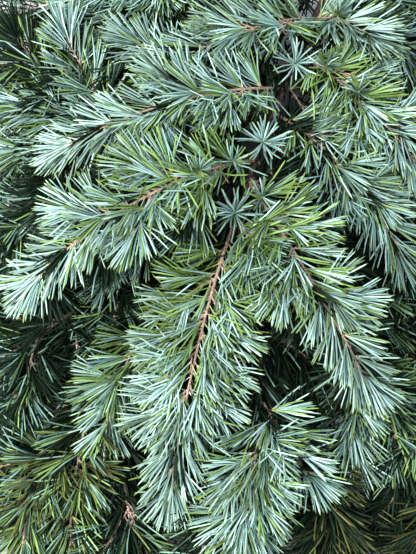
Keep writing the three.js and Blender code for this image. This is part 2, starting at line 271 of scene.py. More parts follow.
class Recipe:
    """A geometry node tree with named inputs, whose result is kept as a plain mesh."""

    def __init__(self, name: str, inputs: dict[str, tuple[str, Any]]) -> None:
        """Makes the tree's interface.

        Args:
            name: the tree's name.
            inputs: socket type and default by name.
        """
        self.tree = bpy.data.node_groups.new(name, "GeometryNodeTree")
        self.forge = Forge(self.tree)
        face = self.tree.interface
        face.new_socket("Geometry", in_out="INPUT", socket_type="NodeSocketGeometry")
        face.new_socket("Geometry", in_out="OUTPUT", socket_type="NodeSocketGeometry")
        self.identifiers: dict[str, str] = {}
        for label, (kind, default) in inputs.items():
            socket = face.new_socket(label, in_out="INPUT", socket_type=kind)
            if default is not None:
                socket.default_value = default
            self.identifiers[label] = socket.identifier
        self.entry = self.tree.nodes.new("NodeGroupInput")

    def value(self, label: str) -> Wire:
        """The wire of one named input."""
        return Wire(self.forge, self.entry.outputs[label])

    def close(self, geometry: Wire, smooth: bool) -> None:
        """Ends the tree: instances realized, shading and material set.

        Args:
            geometry: the wire of the result.
            smooth: whether its faces are shaded smooth.
        """
        add = self.forge.add
        real = add("GeometryNodeRealizeInstances", None, {"Geometry": geometry})
        shaded = add("GeometryNodeSetShadeSmooth", None, {"Geometry": real, "Shade Smooth": smooth})
        inputs = {"Geometry": shaded, "Material": self.value("Material")}
        done = add("GeometryNodeSetMaterial", None, inputs)
        add("NodeGroupOutput", None, {"Geometry": done})

    def run(self, name: str, mesh: bpy.types.Mesh, values: dict[str, Any]) -> bpy.types.Object:
        """Runs the tree on a mesh.

        Args:
            name: the new object's name.
            mesh: the points or edges that the tree works on.
            values: inputs by name.

        Returns:
            The object, its result a plain mesh with no modifier.
        """
        piece = show(name, mesh)
        modifier = piece.modifiers.new(name, "NODES")
        modifier.node_group = self.tree
        for label, value in values.items():
            modifier[self.identifiers[label]] = value
        graph = bpy.context.evaluated_depsgraph_get()
        result = bpy.data.meshes.new_from_object(piece.evaluated_get(graph))
        result.name = name
        piece.modifiers.clear()
        piece.data = result
        bpy.data.meshes.remove(mesh)
        return piece


def surface(name: str) -> tuple[bpy.types.Material, Forge, bpy.types.Node]:
    """An empty material, its forge and its Principled shader.

    Args:
        name: the material's name.

    Returns:
        The material, the forge and the shader.
    """
    material = bpy.data.materials.new(name)
    material.use_nodes = True
    material.node_tree.nodes.clear()
    forge = Forge(material.node_tree)
    shader = material.node_tree.nodes.new("ShaderNodeBsdfPrincipled")
    exit_node = material.node_tree.nodes.new("ShaderNodeOutputMaterial")
    material.node_tree.links.new(shader.outputs[0], exit_node.inputs[0])
    return material, forge, shader


@dataclass(frozen=True)
class NeedleFinish:
    """A needle's colours: its waxy flats, its margins, the foot and the blunt tip."""

    name: str
    flat: Colour
    margin: Colour
    foot: Colour
    tip: Colour
    roughness: float = 0.56
    specular: float = 0.26
    spread: float = 0.4
    grain_scale: float = 260.0
    grain_spread: float = 0.3
    margin_share: float = 0.85
    dull_share: float = 0.5
    foot_share: float = 0.8

    def make(self) -> bpy.types.Material:
        """The material, its pattern following the needle's own UV map.

        Returns:
            The material.
        """
        material, forge, shader = surface(self.name)
        across, along, _ = forge.split(forge.add("ShaderNodeUVMap", {"uv_map": "needle"}))
        edge = forge.maths("ABSOLUTE", forge.maths("FRACT", across * 3.0) - 0.5)
        # The needle's lightness attribute carries its own random variation plus painted shade below shoots
        # and painted light on the upturned stars; low values also take the margin colour.
        tone = forge.add("ShaderNodeAttribute", {"attribute_name": "tone"}, None, "Fac")
        grain = forge.noise(forge.object_place(), self.grain_scale, 2.0)
        dull = (1.0 - tone.between(0.0, 0.45)) * self.dull_share
        body = forge.blend(edge.between(0.2, 0.42) * self.margin_share + dull, self.flat, self.margin)
        body = forge.blend((1.0 - along.between(0.0, 0.5)) * self.foot_share, body, self.foot)
        body = forge.blend(along.between(0.9, 0.985), body, self.tip)
        lightness = (tone - 0.5) * (2.0 * self.spread) + (grain - 0.5) * self.grain_spread + 1.0
        grey = forge.add("ShaderNodeCombineColor", None, dict.fromkeys(range(3), lightness))
        forge.join(forge.blend(1.0, body, grey, "MULTIPLY"), shader.inputs["Base Color"])
        forge.join(grain * 0.2 + (self.roughness - 0.1), shader.inputs["Roughness"])
        shader.inputs["Specular IOR Level"].default_value = self.specular
        return material


@dataclass(frozen=True)
class BarkFinish:
    """Bark: its furrows, its ridges and the pale scales that lift off them."""

    name: str
    furrow: Colour
    ridge: Colour
    scale_colour: Colour
    grain: float
    relief: float
    roughness: float = 0.82

    def make(self) -> bpy.types.Material:
        """The material, on object coordinates.

        Returns:
            The material.
        """
        material, forge, shader = surface(self.name)
        place = forge.object_place()
        coarse = forge.noise(place, self.grain, 5.0)
        fine = forge.noise(place, self.grain * 4.0, 3.0)
        cells = forge.add("ShaderNodeTexVoronoi", None, {"Vector": place, "Scale": self.grain * 1.6})
        body = forge.blend(coarse.between(0.36, 0.62), self.furrow, self.ridge)
        body = forge.blend(fine.between(0.55, 0.72) * 0.7, body, self.scale_colour)
        forge.join(body, shader.inputs["Base Color"])
        forge.join(fine * 0.24 + (self.roughness - 0.12), shader.inputs["Roughness"])
        height = coarse * 0.6 + fine * 0.4 - cells * 0.5
        forge.join(forge.bump(height, self.relief, 0.8), shader.inputs["Normal"])
        return material


@dataclass(frozen=True)
class CutWoodFinish:
    """The flat cut: pale wood with yearly rings round its middle, and a darker pith."""

    name: str
    pale: Colour
    late: Colour
    middle: tuple[float, float, float]
    ring: float = 0.9
    pith: float = 0.0004
    saw_marks: float = 0.0001

    def make(self) -> bpy.types.Material:
        """The material, its rings centred on the cut by a Mapping node.

        Returns:
            The material.
        """
        material, forge, shader = surface(self.name)
        place = forge.object_place()
        inputs = {"Vector": place, "Location": tuple(-v for v in self.middle)}
        centred = forge.add("ShaderNodeMapping", {"vector_type": "POINT"}, inputs)
        wobble = forge.noise(place, 420.0, 2.0)
        reach = forge.add("ShaderNodeVectorMath", {"operation": "LENGTH"}, {0: centred}, "Value")
        turns = reach * (1.0 / (self.ring * MM)) + wobble * 0.7
        wave = forge.maths("FRACT", turns)
        rays = forge.noise(place, 2400.0, 2.0)
        body = forge.blend(wave.between(0.45, 0.95) * 0.8, self.pale, self.late)
        body = forge.blend(1.0 - reach.between(self.pith, 2.0 * self.pith), body, self.late)
        forge.join(body, shader.inputs["Base Color"])
        forge.join(rays * 0.2 + 0.62, shader.inputs["Roughness"])
        forge.join(forge.bump(rays, self.saw_marks, 0.6), shader.inputs["Normal"])
        return material


@dataclass(frozen=True)
class FloorFinish:
    """The plain pale floor."""

    name: str
    colour: Colour

    def make(self) -> bpy.types.Material:
        """The material.

        Returns:
            The material.
        """
        material, forge, shader = surface(self.name)
        place = forge.object_place()
        cloud = forge.noise(place, 1.5, 2.0)
        forge.join(forge.blend(cloud * 0.06, self.colour, (0.5, 0.5, 0.5)), shader.inputs["Base Color"])
        shader.inputs["Roughness"].default_value = 0.9
        return material


class Shade(Enum):
    """The needle colours of the bough, from the waxy young tips to the needles in its shade, whose near-black
    green is painted shade.
    """

    GLAUCOUS = NeedleFinish(
        "needle_glaucous", (0.335, 0.46, 0.49), (0.215, 0.29, 0.14), (0.18, 0.25, 0.065), (0.58, 0.58, 0.42)
    )
    SEA = NeedleFinish(
        "needle_sea", (0.20, 0.30, 0.285), (0.10, 0.16, 0.07), (0.08, 0.135, 0.045), (0.36, 0.38, 0.26)
    )
    LEAF = NeedleFinish(
        "needle_leaf", (0.185, 0.28, 0.13), (0.19, 0.256, 0.05), (0.155, 0.205, 0.032), (0.48, 0.42, 0.15)
    )
    # Painted shade: a near-black green for needles under their shoots and in the lower layers, far darker
    # than their own deep green.
    DEEP = NeedleFinish(
        "needle_deep", (0.018, 0.036, 0.023), (0.013, 0.027, 0.009), (0.01, 0.02, 0.006), (0.05, 0.06, 0.03)
    )
    OLD = NeedleFinish(
        "needle_old", (0.10, 0.125, 0.05), (0.11, 0.10, 0.03), (0.09, 0.065, 0.02), (0.22, 0.17, 0.07)
    )


YOUNG_BARK = BarkFinish(
    "young_bark", (0.22, 0.14, 0.11), (0.42, 0.31, 0.26), (0.66, 0.57, 0.51), 520.0, 0.0005
)
OLD_BARK = BarkFinish(
    "old_bark", (0.05, 0.03, 0.023), (0.16, 0.105, 0.085), (0.34, 0.26, 0.23), 300.0, 0.0009
)
BUD_SCALES = BarkFinish(
    "bud_scales", (0.08, 0.03, 0.015), (0.18, 0.08, 0.045), (0.28, 0.17, 0.1), 900.0, 0.0003, 0.6
)
FLOOR = FloorFinish("pale_floor", (0.42, 0.42, 0.41))


def unit(vectors: Points) -> Points:
    """The vectors at length 1."""
    return vectors / np.linalg.norm(vectors, axis=-1, keepdims=True)


def direction_of(heading: Any, rise: Any) -> Points:
    """The unit vectors at headings and rises in degrees."""
    turn, lift = np.radians(heading), np.radians(rise)
    return np.stack([np.cos(lift) * np.cos(turn), np.cos(lift) * np.sin(turn), np.sin(lift)], axis=-1)


def sides_of(direction: Points) -> tuple[Points, Points]:
    """Two unit vectors across each direction, the first level and the second as upright as it can be."""
    level = unit(np.stack([-direction[..., 1], direction[..., 0] + 1e-9, 0.0 * direction[..., 0]], axis=-1))
    return level, np.cross(direction, level)


@dataclass(frozen=True)
class Growth:
    """How one line grows, in degrees and millimetres, and the side twigs that the source gives it."""

    at: float
    heading: float
    turn: float
    rise: float
    droop: float
    length: float
    twigs: int = 0


class GrowthLine:
    """A line that leaves its start at a heading and a rise, and bends evenly."""

    def __init__(self, start: Points, growth: Growth) -> None:
        """Draws the line from its start in the source's even steps.

        Args:
            start: its first point.
            growth: how it grows.
        """
        self.growth = growth
        shares = (np.arange(LINE_STEPS) + 0.5) / LINE_STEPS
        strides = self.direction_at(shares) * (growth.length / LINE_STEPS)
        points = [np.asarray(start, dtype=float)]
        for stride in strides:
            after = points[-1] + stride
            after[2] = max(after[2], min(points[-1][2], REST_HEIGHT))
            points.append(after)
        self.points = np.array(points)

    def heading_at(self, share: Any) -> Any:
        """The heading at a share of the length."""
        return self.growth.heading + self.growth.turn * share

    def rise_at(self, share: Any) -> Any:
        """The rise at a share of the length."""
        return self.growth.rise + (self.growth.droop - self.growth.rise) * share

    def direction_at(self, share: Any) -> Points:
        """The unit vectors along the line at shares of its length."""
        return direction_of(self.heading_at(share), self.rise_at(share))

    def point_at(self, share: Any) -> Points:
        """The points at shares of the length.

        Args:
            share: one share or an array of them.

        Returns:
            A point for each share.
        """
        place = np.clip(share, 0.0, 1.0) * LINE_STEPS
        index = np.minimum(place.astype(int) if isinstance(place, np.ndarray) else int(place), LINE_STEPS - 1)
        rest = np.asarray(place - index)[..., None]
        return self.points[index] * (1 - rest) + self.points[index + 1] * rest


@dataclass(frozen=True)
class Stick:
    """A growth line with its thickness at both ends."""

    line: GrowthLine
    base_radius: float
    tip_radius: float

    def radius_at(self, share: Any) -> Any:
        """The radius at a share of the length."""
        return self.base_radius + (self.tip_radius - self.base_radius) * share

    def shoot(self, growth: Growth, radius: float) -> GrowthLine:
        """The line of a shoot that leaves this stick, its seat just clear of the surface as in the source.

        Args:
            growth: how the shoot grows.
            radius: its radius at its foot.

        Returns:
            The shoot's line.
        """
        outward = direction_of(growth.heading, growth.rise)
        cosine = abs(float(outward @ self.line.direction_at(growth.at)))
        sine = math.sqrt(1.0 - cosine * cosine)
        if growth.at < 1:
            stand = (self.radius_at(growth.at) + SEAT_GAP + radius * cosine) / sine
        else:
            stand = (SEAT_GAP + radius * sine) / cosine
        return GrowthLine(self.line.point_at(growth.at) + outward * stand, growth)


class Dress(Enum):
    """How the needle shades are dealt along a spray: each shade's weight at its foot and at its tip. Those
    that deal the near-black shade paint shade onto needles that lie low or inside the bough.
    """

    STAR = ((Shade.GLAUCOUS, 0.85, 0.85), (Shade.SEA, 0.15, 0.15))
    BRIGHT = ((Shade.LEAF, 0.8, 0.04), (Shade.SEA, 0.1, 0.08), (Shade.GLAUCOUS, 0.1, 0.88))
    PALE = ((Shade.LEAF, 0.5, 0.04), (Shade.SEA, 0.1, 0.08), (Shade.GLAUCOUS, 0.4, 0.88))
    COOL = ((Shade.LEAF, 0.4, 0.08), (Shade.SEA, 0.28, 0.2), (Shade.GLAUCOUS, 0.32, 0.72))
    GREEN = ((Shade.LEAF, 0.8, 0.06), (Shade.SEA, 0.1, 0.06), (Shade.GLAUCOUS, 0.1, 0.88))
    # Own colours at the foot, painted shade towards the tip.
    FADING = ((Shade.LEAF, 0.3, 0.1), (Shade.GLAUCOUS, 0.5, 0.05), (Shade.DEEP, 0.2, 0.85))
    MILD = ((Shade.LEAF, 0.45, 0.3), (Shade.SEA, 0.4, 0.4), (Shade.GLAUCOUS, 0.15, 0.3))
    # Mostly painted shade at the foot, more of the needles' own greens towards the tip.
    SHADED = ((Shade.DEEP, 0.6, 0.25), (Shade.SEA, 0.3, 0.5), (Shade.LEAF, 0.1, 0.25))
    # Mostly painted shade, with some of the needles' own greens.
    DUSKY = ((Shade.DEEP, 0.9, 0.5), (Shade.SEA, 0.08, 0.4), (Shade.LEAF, 0.02, 0.1))
    # Painted shade for the lower layer and the sprays inside the bough.
    DARK = ((Shade.DEEP, 1.0, 0.9), (Shade.SEA, 0.0, 0.1))
    # Painted shade mixed with the real brown of old needles.
    WITHERED = ((Shade.DEEP, 0.6, 0.7), (Shade.OLD, 0.4, 0.3))
    # The real brown of old needles and the needles' own greens, with a little painted shade.
    WORN = ((Shade.OLD, 0.5, 0.2), (Shade.DEEP, 0.2, 0.1), (Shade.LEAF, 0.2, 0.3), (Shade.SEA, 0.1, 0.4))


STEM = Growth(0.0, 245, 8, 17, 4, 352)
STEM_START = (148.0, 367.0, 30.0)
STEM_RADII = (5.0, 3.1)
LIMB_RADII = (3.0, 1.8)
CORE_RADIUS = 1.7

LIMBS: dict[str, Growth] = {
    "limb_top_left": Growth(0.06, 184, -4, 15, 0, 155),
    "limb_left": Growth(0.66, 166, 20, -10, -10, 190),
    "limb_lower_left": Growth(0.86, 211, 5, -28, 0, 260),
    "limb_bottom_left": Growth(0.94, 225, 15, -28, 0, 290),
    "limb_bottom": Growth(0.96, 284, -14, -22, 0, 185),
    "limb_lower_right": Growth(0.84, 315, -30, -22, 0, 215),
    "limb_right": Growth(0.7, 322, -50, -18, 0, 400),
}

# Each spray's dress; the darker dresses paint shade onto sprays that lie low, inside the bough or in its dark
# corners.
SPRAYS: dict[str, dict[str, tuple[Growth, Dress]]] = {
    STEM_NODE: {
        "leader": (Growth(1, 252, 10, 12, -38, 285, 8), Dress.BRIGHT),
        "fork": (Growth(0.97, 294, 8, 35, 0, 70, 2), Dress.MILD),
        "centre_right": (Growth(0.85, 295, 8, 30, -34, 245, 3), Dress.GREEN),
        "inner_right": (Growth(0.78, 320, -16, 0, -22, 140, 2), Dress.DARK),
        "right": (Growth(0.61, 319, -20, 22, -36, 220, 3), Dress.COOL),
        "upper_right": (Growth(0.38, 310, 0, 35, -36, 240, 3), Dress.BRIGHT),
        "top": (Growth(0.24, 305, 18, 72, 5, 100, 0), Dress.PALE),
        "top_right": (Growth(0.2, 330, 15, 20, -25, 165, 2), Dress.PALE),
        "far_top_right": (Growth(0.1, 355, -12, 15, -25, 140, 2), Dress.SHADED),
        "upper_centre": (Growth(0.23, 212, -12, 50, -25, 180, 2), Dress.PALE),
        "upper_left": (Growth(0.44, 194, -44, 0, 20, 170, 2), Dress.PALE),
        "left_long": (Growth(0.52, 200, -4, 42, -38, 260, 3), Dress.PALE),
        "centre_left": (Growth(0.78, 206, 10, 42, -46, 290, 4), Dress.GREEN),
    },
    "limb_top_left": {
        "top_left": (Growth(1, 214, 0, 22, -30, 140, 2), Dress.COOL),
        "far_top_left": (Growth(0.8, 205, -8, -8, -18, 165, 2), Dress.COOL),
        "high_top_left": (Growth(0.9, 188, 10, 20, -24, 160, 2), Dress.COOL),
    },
    "limb_left": {
        "far_left": (Growth(1, 200, 8, 0, -25, 120, 2), Dress.COOL),
        "left_tip_side": (Growth(0.9, 165, 12, 16, -22, 125, 2), Dress.COOL),
        "left_tip_low": (Growth(0.74, 228, -10, 12, -26, 165, 2), Dress.DARK),
        "left_tip_up": (Growth(0.98, 132, 0, 18, 5, 125, 1), Dress.FADING),
        "left_up": (Growth(0.84, 126, -10, 25, 5, 108, 0), Dress.COOL),
        "left_down": (Growth(0.94, 234, 28, 5, -25, 150, 2), Dress.DUSKY),
        "left_inner": (Growth(0.4, 215, 10, 0, -20, 120, 2), Dress.SHADED),
    },
    "limb_lower_left": {
        "inner_left": (Growth(0.3, 200, 20, 15, -20, 85, 0), Dress.COOL),
        "lower_left": (Growth(0.52, 240, 30, 0, -25, 110, 1), Dress.SHADED),
        "lower_left_side": (Growth(0.82, 270, 10, 0, -20, 90, 0), Dress.DARK),
        "far_lower_left": (Growth(1, 250, 30, 0, -25, 110, 2), Dress.DUSKY),
    },
    "limb_bottom_left": {
        "bright_left": (Growth(0.48, 244, 12, 30, -34, 120, 2), Dress.MILD),
        "low_centre": (Growth(0.6, 262, 20, 0, -20, 180, 2), Dress.DARK),
        "low_inner_left": (Growth(0.82, 255, 15, 10, -25, 140, 1), Dress.WORN),
        "bottom_left": (Growth(1, 228, 40, 5, -25, 110, 2), Dress.WORN),
    },
    "limb_bottom": {
        "bottom": (Growth(1, 262, 2, 20, -34, 165, 4), Dress.COOL),
        "bottom_side": (Growth(0.96, 300, 2, 25, -28, 85, 0), Dress.COOL),
        "bottom_left_side": (Growth(0.84, 244, 14, -4, -20, 175, 2), Dress.DARK),
        "inner_bottom": (Growth(0.6, 345, -50, 10, -20, 100, 2), Dress.DARK),
        "low_right": (Growth(0.74, 312, -35, -15, -8, 190, 2), Dress.WITHERED),
    },
    "limb_lower_right": {
        "lower_right": (Growth(1, 258, 22, 12, -32, 100, 2), Dress.COOL),
        "lower_side": (Growth(0.92, 305, -24, 5, -25, 100, 1), Dress.SHADED),
    },
    "limb_right": {
        "right_high": (Growth(0.36, 340, -30, 10, -22, 110, 2), Dress.SHADED),
        "right_middle": (Growth(0.46, 262, 10, 5, -20, 90, 0), Dress.MILD),
        "right_inner": (Growth(0.64, 262, -12, 0, -25, 80, 0), Dress.DARK),
        "right_outer": (Growth(0.6, 335, -40, 5, -25, 110, 2), Dress.COOL),
        "right_down": (Growth(0.74, 260, -14, 18, -30, 110, 1), Dress.FADING),
        "right_side": (Growth(0.84, 305, -12, 10, -25, 90, 0), Dress.MILD),
        "bottom_right": (Growth(1, 258, -20, 5, -25, 100, 2), Dress.WITHERED),
    },
}

FULLNESS = {
    "leader": 1.25,
    "fork": 0.7,
    "centre_left": 0.42,
    "left_long": 0.6,
    "centre_right": 0.8,
    "right": 0.75,
    "bottom": 1.0,
    "bright_left": 0.45,
    "lower_right": 0.7,
    "lower_side": 0.7,
}
USUAL_FULLNESS = 0.75

ROSETTES: dict[str, tuple[float, ...]] = {
    "centre_left": (0.1, 0.24),
    "upper_right": (0.16, 0.36),
    "top": (0.5,),
    "centre_right": (0.1,),
}
ROSETTE_LENGTH = 9.0
ROSETTE_RISE = 84.0
SIDE_LIFT = 6.0
SEED = 351

SIDE_TWIGS: dict[str, tuple[Growth, ...]] = {
    "high_top_left": (Growth(0.93, 184, 8, 0, -16, 66),),
    "left_tip_up": (Growth(0.72, 180, 10, -6, -20, 66),),
    "left_tip_low": (Growth(0.86, 236, 8, -12, -24, 66),),
    "left_down": (Growth(0.62, 196, 10, -8, -20, 66), Growth(0.9, 246, 8, -8, -20, 58)),
    "far_lower_left": (Growth(0.08, 194, 10, -6, -14, 70), Growth(0.04, 126, 10, -4, -14, 66)),
    "bottom_left": (Growth(0.06, 190, 10, -6, -14, 76),),
    "bottom_left_side": (Growth(0.9, 262, 8, -4, -14, 60),),
    "low_right": (Growth(0.84, 260, 0, -4, -12, 64), Growth(0.6, 268, 0, -4, -12, 70)),
    "low_centre": (Growth(0.84, 294, 0, -4, -12, 58), Growth(0.86, 240, 0, -4, -12, 52)),
    "top_right": (Growth(0.5, 352, -10, -8, -20, 70),),
    "far_top_right": (Growth(0.4, 300, -8, -8, -20, 60),),
    "centre_left": (Growth(0.13, 238, 10, 16, -14, 74),),
}
# Dresses for the fill twigs of some sprays; the fill twigs of all other sprays are mostly painted shade.
SIDE_DRESS = {Dress.GREEN: Dress.MILD, Dress.WITHERED: Dress.WITHERED}

SPURS: dict[str, Growth] = {
    "spur_top": Growth(0.44, 320, 0, 80, 80, 12),
    "spur_middle": Growth(0.73, 300, 0, 80, 80, 12),
    "spur_fork": Growth(0.965, 230, 0, 80, 80, 12),
}


@dataclass(frozen=True)
class TwigRule:
    """The source's rule for the side twigs of a spray: left and right in turn, shorter towards its tip."""

    first_at: float = 0.1
    last_at: float = 0.62
    spread: float = 46.0
    spread_uneven: float = 8.0
    closing: float = 14.0
    drop: float = 12.0
    least: float = 9.0
    share: float = 0.15
    tip_loss: float = 0.3
    uneven: float = 0.2
    fall: float = 0.0

    def lines(self, count: int, line: GrowthLine) -> list[GrowthLine]:
        """The side twigs of one shoot.

        Args:
            count: how many.
            line: the shoot that carries them.

        Returns:
            Their lines.
        """
        full = self.least + self.share * line.growth.length
        twigs = []
        for index in range(count):
            share = self.first_at + (self.last_at - self.first_at) * (index + 0.5) / count
            side = 1 if index % 2 == 0 else -1
            uneven = (index * GOLDEN_SHARE) % 1 - 0.5
            rise = line.rise_at(share)
            heading = line.heading_at(share) + side * (self.spread + self.spread_uneven * uneven)
            length = full * (1 - self.tip_loss * share + self.uneven * uneven)
            low = rise - self.fall
            growth = Growth(share, heading, -side * self.closing, low, low - self.drop, length)
            twigs.append(GrowthLine(line.point_at(share), growth))
        return twigs


@dataclass(frozen=True)
class SideRule:
    """The finer rule: short side shoots, left, right and below in turn, with the top left open."""

    every: float = 8.0
    fewest: int = 3
    first_at: float = 0.05
    last_at: float = 0.96
    base_spread: float = 58.0
    tip_spread: float = 28.0
    base_length: float = 19.0
    tip_length: float = 5.0
    side_angle: float = 78.0
    under_angle: float = 158.0
    angle_uneven: float = 14.0
    uneven: float = 0.35
    # Extra painted shade on the side shoots that hang below.
    under_depth: float = 0.45
    place_step: float = 0.3

    def angle_at(self, index: int) -> float:
        """The angle from the carrier's top of one side shoot in turn."""
        under = self.under_angle * (1 if index % 2 else -1)
        return (self.side_angle, -self.side_angle, under)[index % 3]

    def depth_at(self, index: int) -> float:
        """The extra share of a side shoot's needles given painted shade: some, where it hangs below."""
        return self.under_depth if index % 3 == 2 else 0.0


@dataclass(frozen=True)
class Brush:
    """How needles stand along a shoot: how many, how long, and how far they lean from it."""

    each: float
    fewest: int
    length: float
    base_pitch: float
    tip_pitch: float
    first_at: float = 0.1
    last_at: float = 1.0
    pitch_uneven: float = 9.0
    length_uneven: float = 0.1
    parting: float = 24.0
    flatness: float = 0.0
    faces_up: bool = False


AXIS_BRUSH = Brush(
    each=2.3,
    fewest=4,
    length=38.0,
    base_pitch=52.0,
    tip_pitch=24.0,
    first_at=0.04,
    last_at=0.99,
    parting=48.0,
)
SIDE_BRUSH = Brush(
    each=0.9,
    fewest=22,
    length=41.0,
    base_pitch=46.0,
    tip_pitch=5.0,
    first_at=0.2,
    pitch_uneven=6.0,
    parting=0.0,
    flatness=0.62,
)
TIP_BRUSH = Brush(
    each=0.5,
    fewest=20,
    length=40.0,
    base_pitch=42.0,
    tip_pitch=5.0,
    first_at=0.93,
    pitch_uneven=6.0,
    length_uneven=0.08,
    parting=0.0,
    flatness=0.4,
)
STAR_BRUSH = Brush(
    each=0.4,
    fewest=36,
    length=29.0,
    base_pitch=94.0,
    tip_pitch=24.0,
    first_at=0.7,
    pitch_uneven=11.0,
    length_uneven=0.2,
    parting=0.0,
    faces_up=True,
)
ROSETTE_BRUSH = Brush(
    each=0.4,
    fewest=26,
    length=22.0,
    base_pitch=88.0,
    tip_pitch=24.0,
    first_at=0.6,
    pitch_uneven=12.0,
    length_uneven=0.2,
    parting=0.0,
    faces_up=True,
)


@dataclass(frozen=True)
class Gauge:
    """A shoot's radii at its foot and its tip, and how deep its foot is sunk into its carrier."""

    base: float
    tip: float
    sunk: float = 0.5


@dataclass(frozen=True)
class Stretch:
    """The spray's shares at both ends of a line, which choose its shades, and its side shoots' size."""

    low: float
    high: float
    size: float


@dataclass(frozen=True)
class Opening:
    """How far along a shoot stays open from above, and half the width of the open strip."""

    last: float
    strip: float


AXIS_TIP = 0.75
AXIS_SUNK = 3.0
AXIS_LENGTH_FOR_ONE = 260.0
TWIG_GAUGE = Gauge(1.15, 0.6)
TWIG_STEP = 0.3
TWIG_SIZE = 0.75
FILL_GAUGE, FILL_STRETCH = Gauge(1.2, 0.6), Stretch(0.4, 1.0, 0.8)
HANGING_GAUGE, HANGING_STRETCH = Gauge(1.1, 0.6), Stretch(0.5, 1.0, 0.8)
UNDER_GAUGE, UNDER_STRETCH = Gauge(1.4, 0.7), Stretch(0.1, 0.6, 0.9)
LIMB_STRETCH = Stretch(0.5, 0.5, 0.8)
ROSETTE_GAUGE = Gauge(1.2, 0.9)
SPUR_GAUGE = Gauge(1.3, 1.0, 3.0)
SIDE_GAUGE = Gauge(0.75, 0.55, 0.3)
FOOT_SWELL = 0.35
FOOT_SWELL_LENGTH = 5.0
FEWEST_POINTS = 4

UNDER_RULE = TwigRule(spread=54.0, least=52.0, share=0.12, first_at=0.12, last_at=0.96, drop=14.0)
UNDER_EVERY = 34.0
HANGING_RULE = TwigRule(spread=40.0, least=38.0, share=0.1, first_at=0.15, last_at=0.95, fall=26.0)
HANGING_FROM = 50.0
HANGING_EVERY = 45.0

OPEN_SPRAYS = {
    "leader": Opening(0.62, 4.2),
    "centre_left": Opening(0.5, 1.0),
    "centre_right": Opening(0.5, 1.8),
}
OPEN_STEPS = 22
OPEN_CHECKS = (0.3, 0.5, 0.75, 1.0)
OPEN_MARGIN = 6.0
OPEN_DEPTH = 1.0
SPUR_CLEARING = 21.0
ROSETTE_CLEARING = 15.0
STAR_CHECKS = (0.15, 0.35, 0.6, 0.8, 1.0)
STAR_RISE = 3.0


@dataclass
class Needles:
    """Needles as arrays: feet, aims, lengths, shades, tones, girths and the nodes they stand for."""

    feet: list[Points] = field(default_factory=list)
    aims: list[Points] = field(default_factory=list)
    lengths: list[Points] = field(default_factory=list)
    shades: list[Points] = field(default_factory=list)
    tones: list[Points] = field(default_factory=list)
    girths: list[Points] = field(default_factory=list)
    owners: list[Points] = field(default_factory=list)

    def add(self, kept: Points, **columns: Points) -> None:
        """Stores the kept needles of one brush, by column."""
        for name, values in columns.items():
            getattr(self, name).append(values[kept])

    def joined(self) -> dict[str, Points]:
        """Each column as one array."""
        return {column.name: np.concatenate(getattr(self, column.name)) for column in fields(self)}


@dataclass(frozen=True)
class Rays:
    """The straight courses of a brush's needles: feet, unit aims and lengths."""

    feet: Points
    aims: Points
    lengths: Points

    def at(self, share: float) -> Points:
        """The points at a share of the lengths."""
        return self.feet + self.aims * (self.lengths * share)[:, None]


@dataclass(frozen=True)
class NeedleRule:
    """What all brushes share: how uneven the needles stand, and how shade, lightness and girth are dealt,
    with painted shade below the shoots and painted light on the stars that face up.
    """

    angle_uneven: float = 12.0
    place_uneven: float = 0.12
    shade_slope: float = 1.3
    shade_start: float = 0.2
    shade_most: float = 0.6
    middle_tone: float = 0.5
    shoot_tone: float = 0.24
    own_tone: float = 0.3
    # Painted shade darkens the needles below their shoots; painted light brightens the stars that face up.
    shade_tone: float = 0.1
    star_tone: float = 0.12
    stout_girth: float = 1.2
    thinned: float = 0.3
    open_share: float = 0.84
    open_strip: float = 1.5
    open_length: float = 75.0

    def hidden(self, angle: Points) -> Points:
        """The chance of painted shade, the near-black colour, at angles from a shoot's top, highest below it.
        """
        slope = -self.shade_slope * np.cos(np.radians(angle)) - self.shade_start
        return np.clip(slope, 0.0, 1.0) * self.shade_most

    def opening(self, carrier: GrowthLine) -> Opening:
        """The strip of a carrier that its side shoots' needles leave open."""
        return Opening(self.open_share, self.open_strip + carrier.growth.length / self.open_length)


